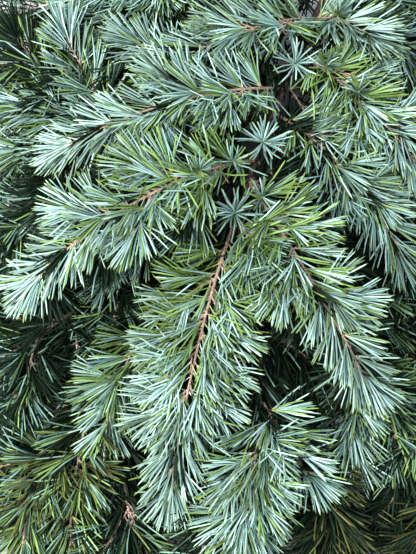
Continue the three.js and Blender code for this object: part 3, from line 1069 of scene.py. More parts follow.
@dataclass(frozen=True)
class EdgeRule:
    """The uneven edge of the growth inside the CAD model's box, from two waves round its middle."""

    low: tuple[float, float, float] = (26.0, 8.0, 0.0)
    high: tuple[float, float, float] = (46.0, 34.0, 0.0)
    middle: float = 0.5
    long_wave: tuple[float, float, float] = (0.3, 7.0, 1.0)
    short_wave: tuple[float, float] = (0.2, 16.0)
    feather: float = 14.0
    slack: float = 1.0
    least_kept: float = 0.6

    def limits(self, points: Points) -> tuple[Points, Points]:
        """How low and how high growth may reach at each point.

        Args:
            points: the places.

        Returns:
            The lowest and the highest place allowed at each.
        """
        turn = np.arctan2(points[:, 1], points[:, 0])
        size, count, phase = self.long_wave
        small, many = self.short_wave
        wave = (self.middle + size * np.sin(count * turn + phase) + small * np.sin(many * turn))[:, None]
        low, high = (np.array(corner) / MM for corner in CAD_BOX)
        return low + wave * np.array(self.low), high - wave * np.array(self.high)

    def trim(self, rays: Rays, random: np.random.Generator) -> tuple[Points, Points]:
        """Cuts needles at the edge.

        Args:
            rays: the needles' courses.
            random: the source of the edge's feather.

        Returns:
            The lengths, and which needles stay worth keeping.
        """
        feet, aims, lengths = rays.feet, rays.aims, rays.lengths
        low, high = self.limits(feet)
        feather = np.column_stack([self.feather * random.random((len(feet), 2)), np.zeros(len(feet))])
        low, high = low + feather, high - feather
        tips = rays.at(1.0)
        room = np.where(aims > 0, (high + self.slack - feet), (feet - low + self.slack))
        spare = room / np.maximum(np.abs(aims), 1e-6)
        outside = (tips > high + self.slack) | (tips < low - self.slack)
        outside[:, 2] = tips[:, 2] > high[:, 2] + self.slack
        limit = np.where(outside, spare, np.inf).min(axis=1)
        cut = np.minimum(lengths, limit)
        inside = np.all((feet > low) & (feet < high), axis=1)
        return cut, inside & (cut > self.least_kept * lengths)


@dataclass
class Twig:
    """One thin shoot to be drawn: its path and its radius along it."""

    path: Points
    radii: Points
    owner: str


class Bough:
    """The growth of the whole bough, in millimetres in the part's frame."""

    def __init__(
        self, twig_rule: TwigRule, side_rule: SideRule, needle_rule: NeedleRule, edge_rule: EdgeRule
    ) -> None:
        """Grows stem, limbs, sprays, twigs, side shoots and needles in turn.

        Args:
            twig_rule: the source's rule for side twigs.
            side_rule: the rule for side shoots.
            needle_rule: what all brushes share.
            edge_rule: where growth ends.
        """
        self.twig_rule = twig_rule
        self.side_rule = side_rule
        self.needle_rule = needle_rule
        self.edge_rule = edge_rule
        self.open_lines: list[tuple[GrowthLine, Opening]] = []
        self.stars: list[tuple[Points, float]] = []
        self.random = np.random.default_rng(SEED)
        self.wood: dict[str, Stick] = {}
        self.twigs: list[Twig] = []
        self.buds: list[tuple[Points, Points]] = []
        self.needles = Needles()
        self.owner_names: list[str] = []
        self.shades = list(Shade)
        self._grow_wood()
        self._mark_open()
        for carrier, sprays in SPRAYS.items():
            for name, (growth, dress) in sprays.items():
                self._grow_spray(f"{name}_spray", self.wood[carrier], growth, dress)
        for name, growth in SPURS.items():
            self._grow_spur(name, growth)
        self._fill_limbs()

    def _grow_wood(self) -> None:
        """The stem and the limbs that leave it."""
        start = np.array(STEM_START) - OUTLINE_MIDDLE
        stem = Stick(GrowthLine(start, STEM), *STEM_RADII)
        self.wood[STEM_NODE] = stem
        for name, growth in LIMBS.items():
            self.wood[name] = Stick(stem.shoot(growth, LIMB_RADII[0]), *LIMB_RADII)

    def _mark_open(self) -> None:
        """Notes the shoots and stars that no needle covers, seen from above."""
        stem = self.wood[STEM_NODE]
        for name, opening in OPEN_SPRAYS.items():
            self.open_lines.append((stem.shoot(SPRAYS[STEM_NODE][name][0], CORE_RADIUS), opening))
        for growth in SPURS.values():
            self.stars.append((stem.shoot(growth, CORE_RADIUS).points[-1], SPUR_CLEARING))
        for name, shares in ROSETTES.items():
            carrier = stem.shoot(SPRAYS[STEM_NODE][name][0], CORE_RADIUS)
            tips = [self._rosette(carrier, share).points[-1] for share in shares]
            self.stars.extend((tip, ROSETTE_CLEARING) for tip in tips)

    @staticmethod
    def _rosette(carrier: GrowthLine, share: float) -> GrowthLine:
        """A short upright shoot on a spray's axis."""
        upright = Growth(share, 0.0, 0.0, ROSETTE_RISE, ROSETTE_RISE, ROSETTE_LENGTH)
        return GrowthLine(carrier.point_at(share), upright)

    def _owner(self, name: str) -> int:
        """The number of a node's name, which is kept when it is new.

        Args:
            name: the node's name.

        Returns:
            Its place in the list of names.
        """
        if name not in self.owner_names:
            self.owner_names.append(name)
        return self.owner_names.index(name)

    def _uneven(self, count: int | None = None) -> Any:
        """One random value from -1 to 1, or as many as a count."""
        return 2.0 * self.random.random(count) - 1.0

    def _draw(self, line: GrowthLine, gauge: Gauge, owner: str) -> None:
        """Keeps a shoot to be drawn, its foot sunk into its carrier, up to where it leaves the edge.

        Args:
            line: the shoot.
            gauge: its thickness.
            owner: the node that it stands for.
        """
        foot = line.points[0] - line.direction_at(0.0) * gauge.sunk
        path = np.vstack([foot, line.points])
        shares = np.concatenate([[0.0], np.linspace(0.0, 1.0, LINE_STEPS + 1)])
        swell = 1.0 + FOOT_SWELL * np.exp(-shares * line.growth.length / FOOT_SWELL_LENGTH)
        low, high = self.edge_rule.limits(path)
        outside = np.flatnonzero(np.any((path < low) | (path > high), axis=1))
        end = int(outside[0]) if len(outside) else len(path)
        if end < FEWEST_POINTS:
            return
        radii = (gauge.base + (gauge.tip - gauge.base) * shares) * swell
        self.twigs.append(Twig(path[:end], radii[:end], owner))
        self.buds.append((path[end - 1], line.direction_at(1.0)))

    def _grow_spray(self, name: str, carrier: Stick, growth: Growth, dress: Dress) -> None:
        """One spray: its axis, its rosettes, and its twigs with their side shoots.

        Args:
            name: the node that it stands for.
            carrier: the wood that it leaves.
            growth: how its axis grows.
            dress: its shades.
        """
        line = carrier.shoot(growth, CORE_RADIUS)
        self._draw(line, Gauge(1.0 + growth.length / AXIS_LENGTH_FOR_ONE, AXIS_TIP, AXIS_SUNK), name)
        place = name.removesuffix("_spray")
        full = FULLNESS.get(place, USUAL_FULLNESS)
        self._clothe(line, name, dress, Stretch(0.0, 1.0, full))
        for share in ROSETTES.get(place, ()):
            rosette = self._rosette(line, share)
            self._draw(rosette, ROSETTE_GAUGE, name)
            self._stand(rosette, ROSETTE_BRUSH, name, Dress.MILD, 1.0)
        for twig in self.twig_rule.lines(growth.twigs, line):
            share = twig.growth.at
            stretch = Stretch(share, min(1.0, share + TWIG_STEP), TWIG_SIZE * full)
            self._add_twigs([twig], TWIG_GAUGE, name, dress, stretch)
        fill = [GrowthLine(line.point_at(way.at), way) for way in SIDE_TWIGS.get(place, ())]
        # Fill twigs are mostly painted shade, unless their spray's dress is listed for them.
        self._add_twigs(fill, FILL_GAUGE, name, SIDE_DRESS.get(dress, Dress.DUSKY), FILL_STRETCH)
        # Hanging twigs below the spray, their needles all painted shade.
        hanging = HANGING_RULE.lines(round((growth.length - HANGING_FROM) / HANGING_EVERY), line)
        self._add_twigs(hanging, HANGING_GAUGE, name, Dress.DARK, HANGING_STRETCH)

    def _add_twigs(
        self, twigs: Sequence[GrowthLine], gauge: Gauge, owner: str, dress: Dress, stretch: Stretch
    ) -> None:
        """Draws and clothes twigs of one kind.

        Args:
            twigs: their lines.
            gauge: their thickness.
            owner: the node that they stand for.
            dress: the shades along the spray.
            stretch: the part of the spray that they take.
        """
        for twig in twigs:
            self._draw(twig, gauge, owner)
            self._clothe(twig, owner, dress, stretch)

    def _clothe(self, line: GrowthLine, owner: str, dress: Dress, stretch: Stretch) -> None:
        """Side shoots and needles along one line.

        Args:
            line: the carrier.
            owner: the node that they stand for.
            dress: the shades along the spray.
            stretch: the part of the spray that the line takes, and the side shoots' size.
        """
        rule = self.side_rule
        low, high = stretch.low, stretch.high
        count = max(rule.fewest, round(line.growth.length * (rule.last_at - rule.first_at) / rule.every))
        for index in range(count):
            share = rule.first_at + (rule.last_at - rule.first_at) * (index + 0.5) / count
            angle = rule.angle_at(index) + rule.angle_uneven * self._uneven()
            spread = rule.base_spread + (rule.tip_spread - rule.base_spread) * share
            reach = rule.base_length + (rule.tip_length - rule.base_length) * share
            reach *= stretch.size * (1.0 + rule.uneven * self._uneven())
            aim = self._aim(line.direction_at(share), np.radians(angle), math.radians(spread))
            side = self._straight(line.point_at(share), aim, reach)
            self._draw(side, SIDE_GAUGE, owner)
            place = low + (high - low) * share
            ends = (place, place + rule.place_step)
            # Side shoots that hang below get extra painted shade.
            self._stand(side, SIDE_BRUSH, owner, dress, *ends, over=line, depth=rule.depth_at(index))
        self._stand(line, AXIS_BRUSH, owner, dress, low, high)
        self._stand(line, TIP_BRUSH, owner, dress, high)

    @staticmethod
    def _parted(angle: Any, parting: float) -> Any:
        """An angle round a shoot from its top, pushed off the strip where the needles part.

        Args:
            angle: degrees round the shoot.
            parting: half the strip's angle.

        Returns:
            The angles, from -180 to 180.
        """
        from_top = (angle + 180.0) % 360.0 - 180.0
        kept = parting + np.abs(from_top) * (1.0 - parting / 180.0)
        return np.where(from_top < 0, -kept, kept)

    @staticmethod
    def _aim(direction: Points, angle: Any, pitch: Any) -> Points:
        """The unit vectors that lean off a direction by a pitch, at an angle round it from its top.

        Args:
            direction: the shoot's unit vectors.
            angle: radians round it, from its top.
            pitch: radians off it.

        Returns:
            The unit vectors.
        """
        level, upright = sides_of(direction)
        angle, pitch = np.asarray(angle)[..., None], np.asarray(pitch)[..., None]
        outward = upright * np.cos(angle) + level * np.sin(angle)
        return direction * np.cos(pitch) + outward * np.sin(pitch)

    @staticmethod
    def _straight(start: Points, aim: Points, length: float) -> GrowthLine:
        """A short straight line from a start along an aim, lifting a little at its tip.

        Args:
            start: its foot.
            aim: the unit vector that it follows.
            length: its length.

        Returns:
            The line.
        """
        heading = math.degrees(math.atan2(aim[1], aim[0]))
        rise = math.degrees(math.asin(float(np.clip(aim[2], -1, 1))))
        return GrowthLine(start, Growth(0.0, heading, 0.0, rise, rise + SIDE_LIFT, length))

    def _stand(
        self,
        line: GrowthLine,
        brush: Brush,
        owner: str,
        dress: Dress,
        low: float,
        high: float | None = None,
        over: GrowthLine | None = None,
        depth: float = 0.0,
    ) -> None:
        """Sets a brush of needles on a line.

        Args:
            line: the shoot.
            brush: how the needles stand.
            owner: the node that they stand for.
            dress: the shades along the spray.
            low: the spray's share at the line's start.
            high: the spray's share at its end, where it differs.
            over: a carrier that its needles leave open from above.
            depth: the extra share of them that lies in the shade of the layer above.
        """
        rule = self.needle_rule
        high = low if high is None else high
        stretch = brush.last_at - brush.first_at
        count = max(brush.fewest, round(line.growth.length * stretch / brush.each))
        order = np.arange(count)
        shares = brush.first_at + stretch * (order + 0.5) / count
        pitch = brush.base_pitch + (brush.tip_pitch - brush.base_pitch) * ((order + 0.5) / count)
        pitch += brush.pitch_uneven * self._uneven(count)
        turned = order * GOLDEN_ANGLE + 360.0 * self.random.random() + rule.angle_uneven * self._uneven(count)
        angle = self._parted(turned, brush.parting)
        pitch *= 1.0 - brush.flatness * np.abs(np.cos(np.radians(angle)))
        lengths = brush.length * (1.0 + brush.length_uneven * self._uneven(count))
        aims = self._aim(line.direction_at(shares), np.radians(angle), np.radians(pitch))
        feet = line.point_at(shares)
        aims = self._above_floor(feet, aims, lengths)
        # Needles below their shoot, and more on side shoots that hang below, get painted shade: by chance the
        # near-black colour, and a darker lightness.
        hidden = np.zeros(count) if brush.faces_up else rule.hidden(angle) + depth
        places = low + (high - low) * shares + rule.place_uneven * self._uneven(count)
        shades = self._deal(dress, places, hidden)
        tones = rule.middle_tone + rule.shoot_tone * self._uneven() + rule.own_tone * self._uneven(count)
        tones -= rule.shade_tone * hidden
        lengths, kept = self.edge_rule.trim(Rays(feet, aims, lengths), self.random)
        rays = Rays(feet, aims, lengths)
        if over is not None:
            kept &= ~self._crosses(over, rule.opening(over), rays)
        if not brush.faces_up:
            kept &= ~self._covers_open(rays)
        under_layer = dress is Dress.DARK
        if under_layer:
            kept &= self.random.random(count) > rule.thinned
        # The needles of the stars that face up are painted lighter, as if lit from above.
        self.needles.add(
            kept,
            feet=feet,
            aims=aims,
            lengths=lengths,
            shades=shades,
            tones=tones + (rule.star_tone if owner in SPURS else 0.0),
            girths=np.full(count, rule.stout_girth if under_layer or owner in SPURS else 1.0),
            owners=np.full(count, self._owner(owner)),
        )

    def _deal(self, dress: Dress, places: Points, hidden: Points) -> Points:
        """The shade number of each needle.

        Args:
            dress: the shades' weights along the spray.
            places: the needles' places along it, from 0 to 1.
            hidden: the chance of each one to lie in deep shade.

        Returns:
            The numbers.
        """
        places = np.clip(places, 0.0, 1.0)
        places = places * places * (3.0 - 2.0 * places)
        edges = np.cumsum([foot + (tip - foot) * places for _, foot, tip in dress.value], axis=0)
        picks = (self.random.random(len(places)) * edges[-1] > edges[:-1]).sum(axis=0)
        chosen = np.array([self.shades.index(shade) for shade, *_ in dress.value])[picks]
        # Painted shade: by its chance a needle takes the near-black colour.
        return np.where(self.random.random(len(places)) < hidden, self.shades.index(Shade.DEEP), chosen)

    @staticmethod
    def _above_floor(feet: Points, aims: Points, lengths: Points) -> Points:
        """The aims, pressed level where a needle would reach through the floor.

        Args:
            feet: the needles' feet.
            aims: their unit vectors.
            lengths: their lengths.

        Returns:
            The aims.
        """
        drop = -np.maximum(feet[:, 2] - FLOOR_CLEARANCE, 0.0) / lengths
        flat = np.linalg.norm(aims[:, :2], axis=1)
        level = np.sqrt(np.maximum(1.0 - drop * drop, 0.0)) / np.maximum(flat, 1e-6)
        pressed = np.column_stack([aims[:, :2] * level[:, None], drop])
        return np.where((aims[:, 2] < drop)[:, None], pressed, aims)

    def _covers_open(self, rays: Rays) -> Points:
        """Which needles would lie over an open shoot or a star of needles, seen from above.

        Args:
            rays: the needles' courses.

        Returns:
            True for each needle that would cover one.
        """
        covered = np.zeros(len(rays.feet), dtype=bool)
        for line, opening in self.open_lines:
            covered |= self._crosses(line, opening, rays)
        for star, clearing in self.stars:
            covered |= self._shades_star(star, clearing, rays)
        return covered

    @staticmethod
    def _shades_star(star: Points, clearing: float, rays: Rays) -> Points:
        """Which needles would lie over one star, within the radius kept clear.

        Args:
            star: the star's middle.
            clearing: the radius kept clear.
            rays: the needles' courses.

        Returns:
            True for each needle that would cover it.
        """
        covered = np.zeros(len(rays.feet), dtype=bool)
        for share in STAR_CHECKS:
            apart = rays.at(share) - star
            covered |= (np.linalg.norm(apart[:, :2], axis=1) < clearing) & (apart[:, 2] > STAR_RISE)
        return covered

    @staticmethod
    def _crosses(carrier: GrowthLine, opening: Opening, rays: Rays) -> Points:
        """Which needles would lie over a carrier, seen from above.

        Args:
            carrier: the shoot left open.
            opening: how much of it stays open.
            rays: the needles' courses.

        Returns:
            True for each needle that would cover it.
        """
        shares = np.linspace(0.0, opening.last, OPEN_STEPS)
        spine, forward = carrier.point_at(shares), carrier.direction_at(shares)
        rows = np.arange(len(rays.feet))
        covered = np.zeros(len(rays.feet), dtype=bool)
        for share in OPEN_CHECKS:
            apart = rays.at(share)[:, None, :] - spine[None]
            nearest = np.argmin(np.linalg.norm(apart[..., :2], axis=2), axis=1)
            gap = apart[rows, nearest]
            ahead = forward[nearest]
            across = np.abs(gap[:, 0] * ahead[:, 1] - gap[:, 1] * ahead[:, 0])
            close = np.linalg.norm(gap[:, :2], axis=1) < opening.strip + OPEN_MARGIN
            covered |= (across < opening.strip) & close & (gap[:, 2] > -OPEN_DEPTH)
        return covered

    def _grow_spur(self, name: str, growth: Growth) -> None:
        """One star of needles that faces up from the stem.

        Args:
            name: the node that it stands for.
            growth: how it grows.
        """
        line = self.wood[STEM_NODE].shoot(growth, CORE_RADIUS)
        self._draw(line, SPUR_GAUGE, name)
        self._stand(line, STAR_BRUSH, name, Dress.STAR, 1.0)

    def _fill_limbs(self) -> None:
        """Side shoots along the limbs, and twigs along limbs and stem, under the top layer, their needles
        mostly painted shade.
        """
        for name, stick in self.wood.items():
            nearest = f"{next(iter(SPRAYS[name]))}_spray"
            if name != STEM_NODE:
                self._clothe(stick.line, nearest, Dress.DARK, LIMB_STRETCH)
            twigs = UNDER_RULE.lines(round(stick.line.growth.length / UNDER_EVERY), stick.line)
            self._add_twigs(twigs, UNDER_GAUGE, nearest, Dress.DARK, UNDER_STRETCH)


def settle(piece: bpy.types.Object, nodes: Sequence[str]) -> None:
    """Rides a piece on the body, hides the CAD nodes that it stands for and reports it.

    Args:
        piece: the finished piece.
        nodes: the CAD nodes that it replaces.
    """
    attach(piece, BODY)
    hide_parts(*nodes)
    piece.data.calc_loop_triangles()
    LOG.info("%s: %d triangles, for %d nodes", piece.name, len(piece.data.loop_triangles), len(nodes))


def point_mesh(name: str, points: Points, edges: Iterable[tuple[int, int]] = ()) -> bpy.types.Mesh:
    """A mesh of loose points, with edges if given, from millimetres.

    Args:
        name: the mesh's name.
        points: the points.
        edges: pairs of their numbers.

    Returns:
        The mesh.
    """
    mesh = bpy.data.meshes.new(name)
    mesh.from_pydata((points * MM).tolist(), list(edges), [])
    return mesh


def mark(mesh: bpy.types.Mesh, name: str, kind: str, values: Points) -> None:
    """Stores one attribute on a mesh's points.

    Args:
        mesh: the mesh.
        name: the attribute's name.
        kind: its type.
        values: one value or vector for each point.
    """
    attribute = mesh.attributes.new(name, kind, "POINT")
    store = "vector" if kind == "FLOAT_VECTOR" else "value"
    attribute.data.foreach_set(store, values.astype(np.float32).ravel())


def solid(name: str, corners: Points, faces: Sequence[Sequence[int]], finish: Any) -> bpy.types.Object:
    """An object with its finish, from corners in millimetres and faces.

    Args:
        name: its name.
        corners: its corners.
        faces: the corners' numbers, face by face.
        finish: the finish that makes its material.

    Returns:
        The object.
    """
    mesh = bpy.data.meshes.new(name)
    mesh.from_pydata((corners * MM).tolist(), [], faces)
    mesh.materials.append(finish.make())
    return show(name, mesh)


@dataclass
class Wood:
    """The stem and limbs: bark with its relief, and the flat cut at the stem's foot."""

    bough: Bough
    sides: int = 18
    limb_sides: int = 12
    ring_every: float = 1.6
    fewest_rings: int = 8
    relief: float = 0.42
    sunk: float = 4.0
    collar: float = 0.4
    collar_length: float = 6.0
    finish: BarkFinish = OLD_BARK
    cut_pale: Colour = (0.72, 0.55, 0.36)
    cut_late: Colour = (0.42, 0.24, 0.13)
    cut_steps: tuple[float, ...] = (1.0, 0.86, 0.6, 0.3)

    def build(self) -> list[bpy.types.Object]:
        """Makes the wood and its cut.

        Returns:
            The pieces.
        """
        corners: list[Points] = []
        faces: list[tuple[int, ...]] = []
        for index, (name, stick) in enumerate(self.bough.wood.items()):
            stem = name == STEM_NODE
            sides = self.sides if stem else self.limb_sides
            rings = self._rings(stick, sides, index, stem)
            base = sum(len(ring) for ring in corners)
            corners.extend(rings)
            faces.extend(self._tube_faces(base, len(rings), sides, cap_start=not stem))
        bark = solid("wood_bark", np.vstack(corners), faces, self.finish)
        bark.data.shade_smooth()
        settle(bark, list(self.bough.wood))
        return [bark, self._cut(corners[0])]

    def _rings(self, stick: Stick, sides: int, seed: int, stem: bool) -> list[Points]:
        """The rings of one stick, with relief and a collar where it leaves its carrier.

        Args:
            stick: the stem or a limb.
            sides: the corners of a ring.
            seed: its number, which shifts its relief.
            stem: whether it is the stem, which has no carrier.

        Returns:
            The rings, from its start.
        """
        length = stick.line.growth.length
        count = max(self.fewest_rings, round(length / self.ring_every))
        shares = np.linspace(0.0, 1.0, count + 1)
        centres = stick.line.point_at(shares)
        directions = stick.line.direction_at(shares)
        if not stem:
            sunk = centres[0] - directions[0] * self.sunk
            centres = np.vstack([sunk, centres])
            directions = np.vstack([directions[0], directions])
            shares = np.concatenate([[0.0], shares])
        rings = []
        for share, centre, direction in zip(shares, centres, directions):
            level, upright = sides_of(direction)
            swell = 1.0 if stem else 1.0 + self.collar * math.exp(-share * length / self.collar_length)
            radius = float(stick.radius_at(share)) * swell
            ring = []
            for side in range(sides):
                angle = 2.0 * math.pi * side / sides
                outward = level * math.cos(angle) + upright * math.sin(angle)
                lift = self._relief(share * length, angle, radius, seed)
                ring.append(centre + outward * (radius + lift))
            rings.append(np.array(ring))
        return rings

    def _relief(self, along: float, angle: float, radius: float, seed: int) -> float:
        """The bark's height at a place: long ridges, lifted scales and the scars of old short shoots.

        Args:
            along: the distance from the stick's start.
            angle: radians round it.
            radius: its radius there.
            seed: its number.

        Returns:
            The height in millimetres.
        """
        across, up = math.cos(angle) * radius * 0.9, math.sin(angle) * radius * 0.9
        round_place = Vector((across, up, along * 0.16 + seed * 7))
        ridges = abs(noise.noise(round_place))
        scales = noise.noise(round_place * 2.4 + Vector((0.0, 0.0, along * 0.3)))
        scar = max(0.0, noise.noise(Vector((angle * 1.1, along * 0.12, seed * 3.0))) - 0.25)
        return self.relief * (0.5 - 1.4 * ridges + 0.5 * scales + 1.6 * scar)

    @staticmethod
    def _tube_faces(base: int, rings: int, sides: int, cap_start: bool) -> list[tuple[int, ...]]:
        """The faces of one tube, capped at its tip and, where it isn't the cut, at its start.

        Args:
            base: the number of the tube's first corner.
            rings: how many rings it has.
            sides: the corners of a ring.
            cap_start: whether its start is closed.

        Returns:
            The faces.
        """
        faces: list[tuple[int, ...]] = []
        for ring in range(rings - 1):
            low = base + ring * sides
            for side in range(sides):
                after = (side + 1) % sides
                faces.append((low + side, low + after, low + sides + after, low + sides + side))
        top = base + (rings - 1) * sides
        faces.append(tuple(top + side for side in range(sides)))
        if cap_start:
            faces.append(tuple(base + side for side in reversed(range(sides))))
        return faces

    def _cut(self, ring: Points) -> bpy.types.Object:
        """The sawn end: a disc of rings that closes the stem's foot.

        Args:
            ring: the stem's first ring.

        Returns:
            The piece.
        """
        centre = ring.mean(axis=0)
        sides = len(ring)
        corners = np.vstack([centre + (ring - centre) * step for step in self.cut_steps] + [centre[None]])
        inner = (len(self.cut_steps) - 1) * sides
        faces: list[tuple[int, ...]] = []
        for low in range(0, inner, sides):
            for side in range(sides):
                after = (side + 1) % sides
                faces.append((low + after, low + side, low + sides + side, low + sides + after))
        faces.extend((inner + (side + 1) % sides, inner + side, len(corners) - 1) for side in range(sides))
        middle = tuple(float(v) for v in centre * MM)
        finish = CutWoodFinish("cut_wood", self.cut_pale, self.cut_late, middle)
        piece = solid("cut_face", corners, faces, finish)
        settle(piece, [STEM_NODE])
        return piece


@dataclass
class Shoots:
    """The young shoots: thin knobbly tubes along every axis, twig and side shoot, with buds at their tips."""

    bough: Bough
    sides: int = 5
    step: float = 3.2
    knob: float = 0.22
    short: float = 30.0
    bud_radius: float = 1.1
    bud_seed: int = 5

    def build(self) -> list[bpy.types.Object]:
        """Makes the shoots and buds.

        Returns:
            The pieces.
        """
        owners = sorted({twig.owner for twig in self.bough.twigs})
        sizes = {"Step": self.step * MM, "Knob": self.knob * MM, "Sides": self.sides}
        shoots = self._tree().run("young_shoots", self._paths(), {"Material": YOUNG_BARK.make(), **sizes})
        settle(shoots, owners)
        sizes = {"Radius": self.bud_radius * MM, "Seed": self.bud_seed}
        buds = self._bud_tree().run("buds", self._bud_points(), {"Material": BUD_SCALES.make(), **sizes})
        settle(buds, owners)
        return [shoots, buds]

    def _paths(self) -> bpy.types.Mesh:
        """All paths as edges, each point with its radius, short ones with fewer points.

        Returns:
            The mesh.
        """
        points, radii, edges = [], [], []
        base = 0
        for twig in self.bough.twigs:
            path, thick = twig.path, twig.radii
            if len(path) > FEWEST_POINTS and np.linalg.norm(path[-1] - path[0]) < self.short:
                keep = [0, 1, len(path) // 2, len(path) - 1]
                path, thick = path[keep], thick[keep]
            points.append(path)
            radii.append(thick)
            edges.extend((base + i, base + i + 1) for i in range(len(path) - 1))
            base += len(path)
        mesh = point_mesh("young_shoots", np.vstack(points), edges)
        mark(mesh, "thick", "FLOAT", np.concatenate(radii) * MM)
        return mesh

    def _tree(self) -> Recipe:
        """The tree that sweeps a ring along every path and raises leaf cushions on it.

        Returns:
            The tree.
        """
        recipe = Recipe(
            "shoot_sweep",
            {
                "Material": ("NodeSocketMaterial", None),
                "Step": ("NodeSocketFloat", 0.003),
                "Knob": ("NodeSocketFloat", 0.0002),
                "Sides": ("NodeSocketInt", 6),
            },
        )
        forge = recipe.forge
        curve = forge.add("GeometryNodeMeshToCurve", None, {"Mesh": recipe.value("Geometry")})
        inputs = {"Curve": curve, "Length": recipe.value("Step")}
        curve = forge.add("GeometryNodeResampleCurve", {"mode": "LENGTH"}, inputs)
        inputs = {"Resolution": recipe.value("Sides"), "Radius": 1.0}
        ring = forge.add("GeometryNodeCurvePrimitiveCircle", None, inputs)
        inputs = {"Curve": curve, "Profile Curve": ring, "Scale": forge.named("thick"), "Fill Caps": True}
        tube = forge.add("GeometryNodeCurveToMesh", None, inputs)
        cushion = forge.noise(forge.add("GeometryNodeInputPosition"), 380.0, 1.0) - 0.5
        inputs = {0: forge.add("GeometryNodeInputNormal"), "Scale": cushion * recipe.value("Knob") * 4.0}
        offset = forge.add("ShaderNodeVectorMath", {"operation": "SCALE"}, inputs)
        recipe.close(forge.add("GeometryNodeSetPosition", None, {"Geometry": tube, "Offset": offset}), True)
        return recipe

    def _bud_points(self) -> bpy.types.Mesh:
        """The shoot tips, each with the way it points.

        Returns:
            The mesh.
        """
        mesh = point_mesh("buds", np.array([tip for tip, _ in self.bough.buds]))
        mark(mesh, "aim", "FLOAT_VECTOR", np.array([aim for _, aim in self.bough.buds]))
        return mesh

    @staticmethod
    def _bud_tree() -> Recipe:
        """The tree that sets a small pointed bud on every tip.

        Returns:
            The tree.
        """
        recipe = Recipe(
            "bud_set",
            {
                "Material": ("NodeSocketMaterial", None),
                "Radius": ("NodeSocketFloat", 0.001),
                "Seed": ("NodeSocketInt", 5),
            },
        )
        forge = recipe.forge
        ball = forge.add("GeometryNodeMeshIcoSphere", None, {"Radius": 1.0, "Subdivisions": 1})
        turn = forge.facing(forge.named("aim", "FLOAT_VECTOR"))
        wide = forge.random(0.7, 1.15, recipe.value("Seed")) * recipe.value("Radius")
        scale = forge.vector(wide, wide, wide * 1.7)
        recipe.close(forge.on_points(recipe.value("Geometry"), ball, turn, scale), True)
        return recipe


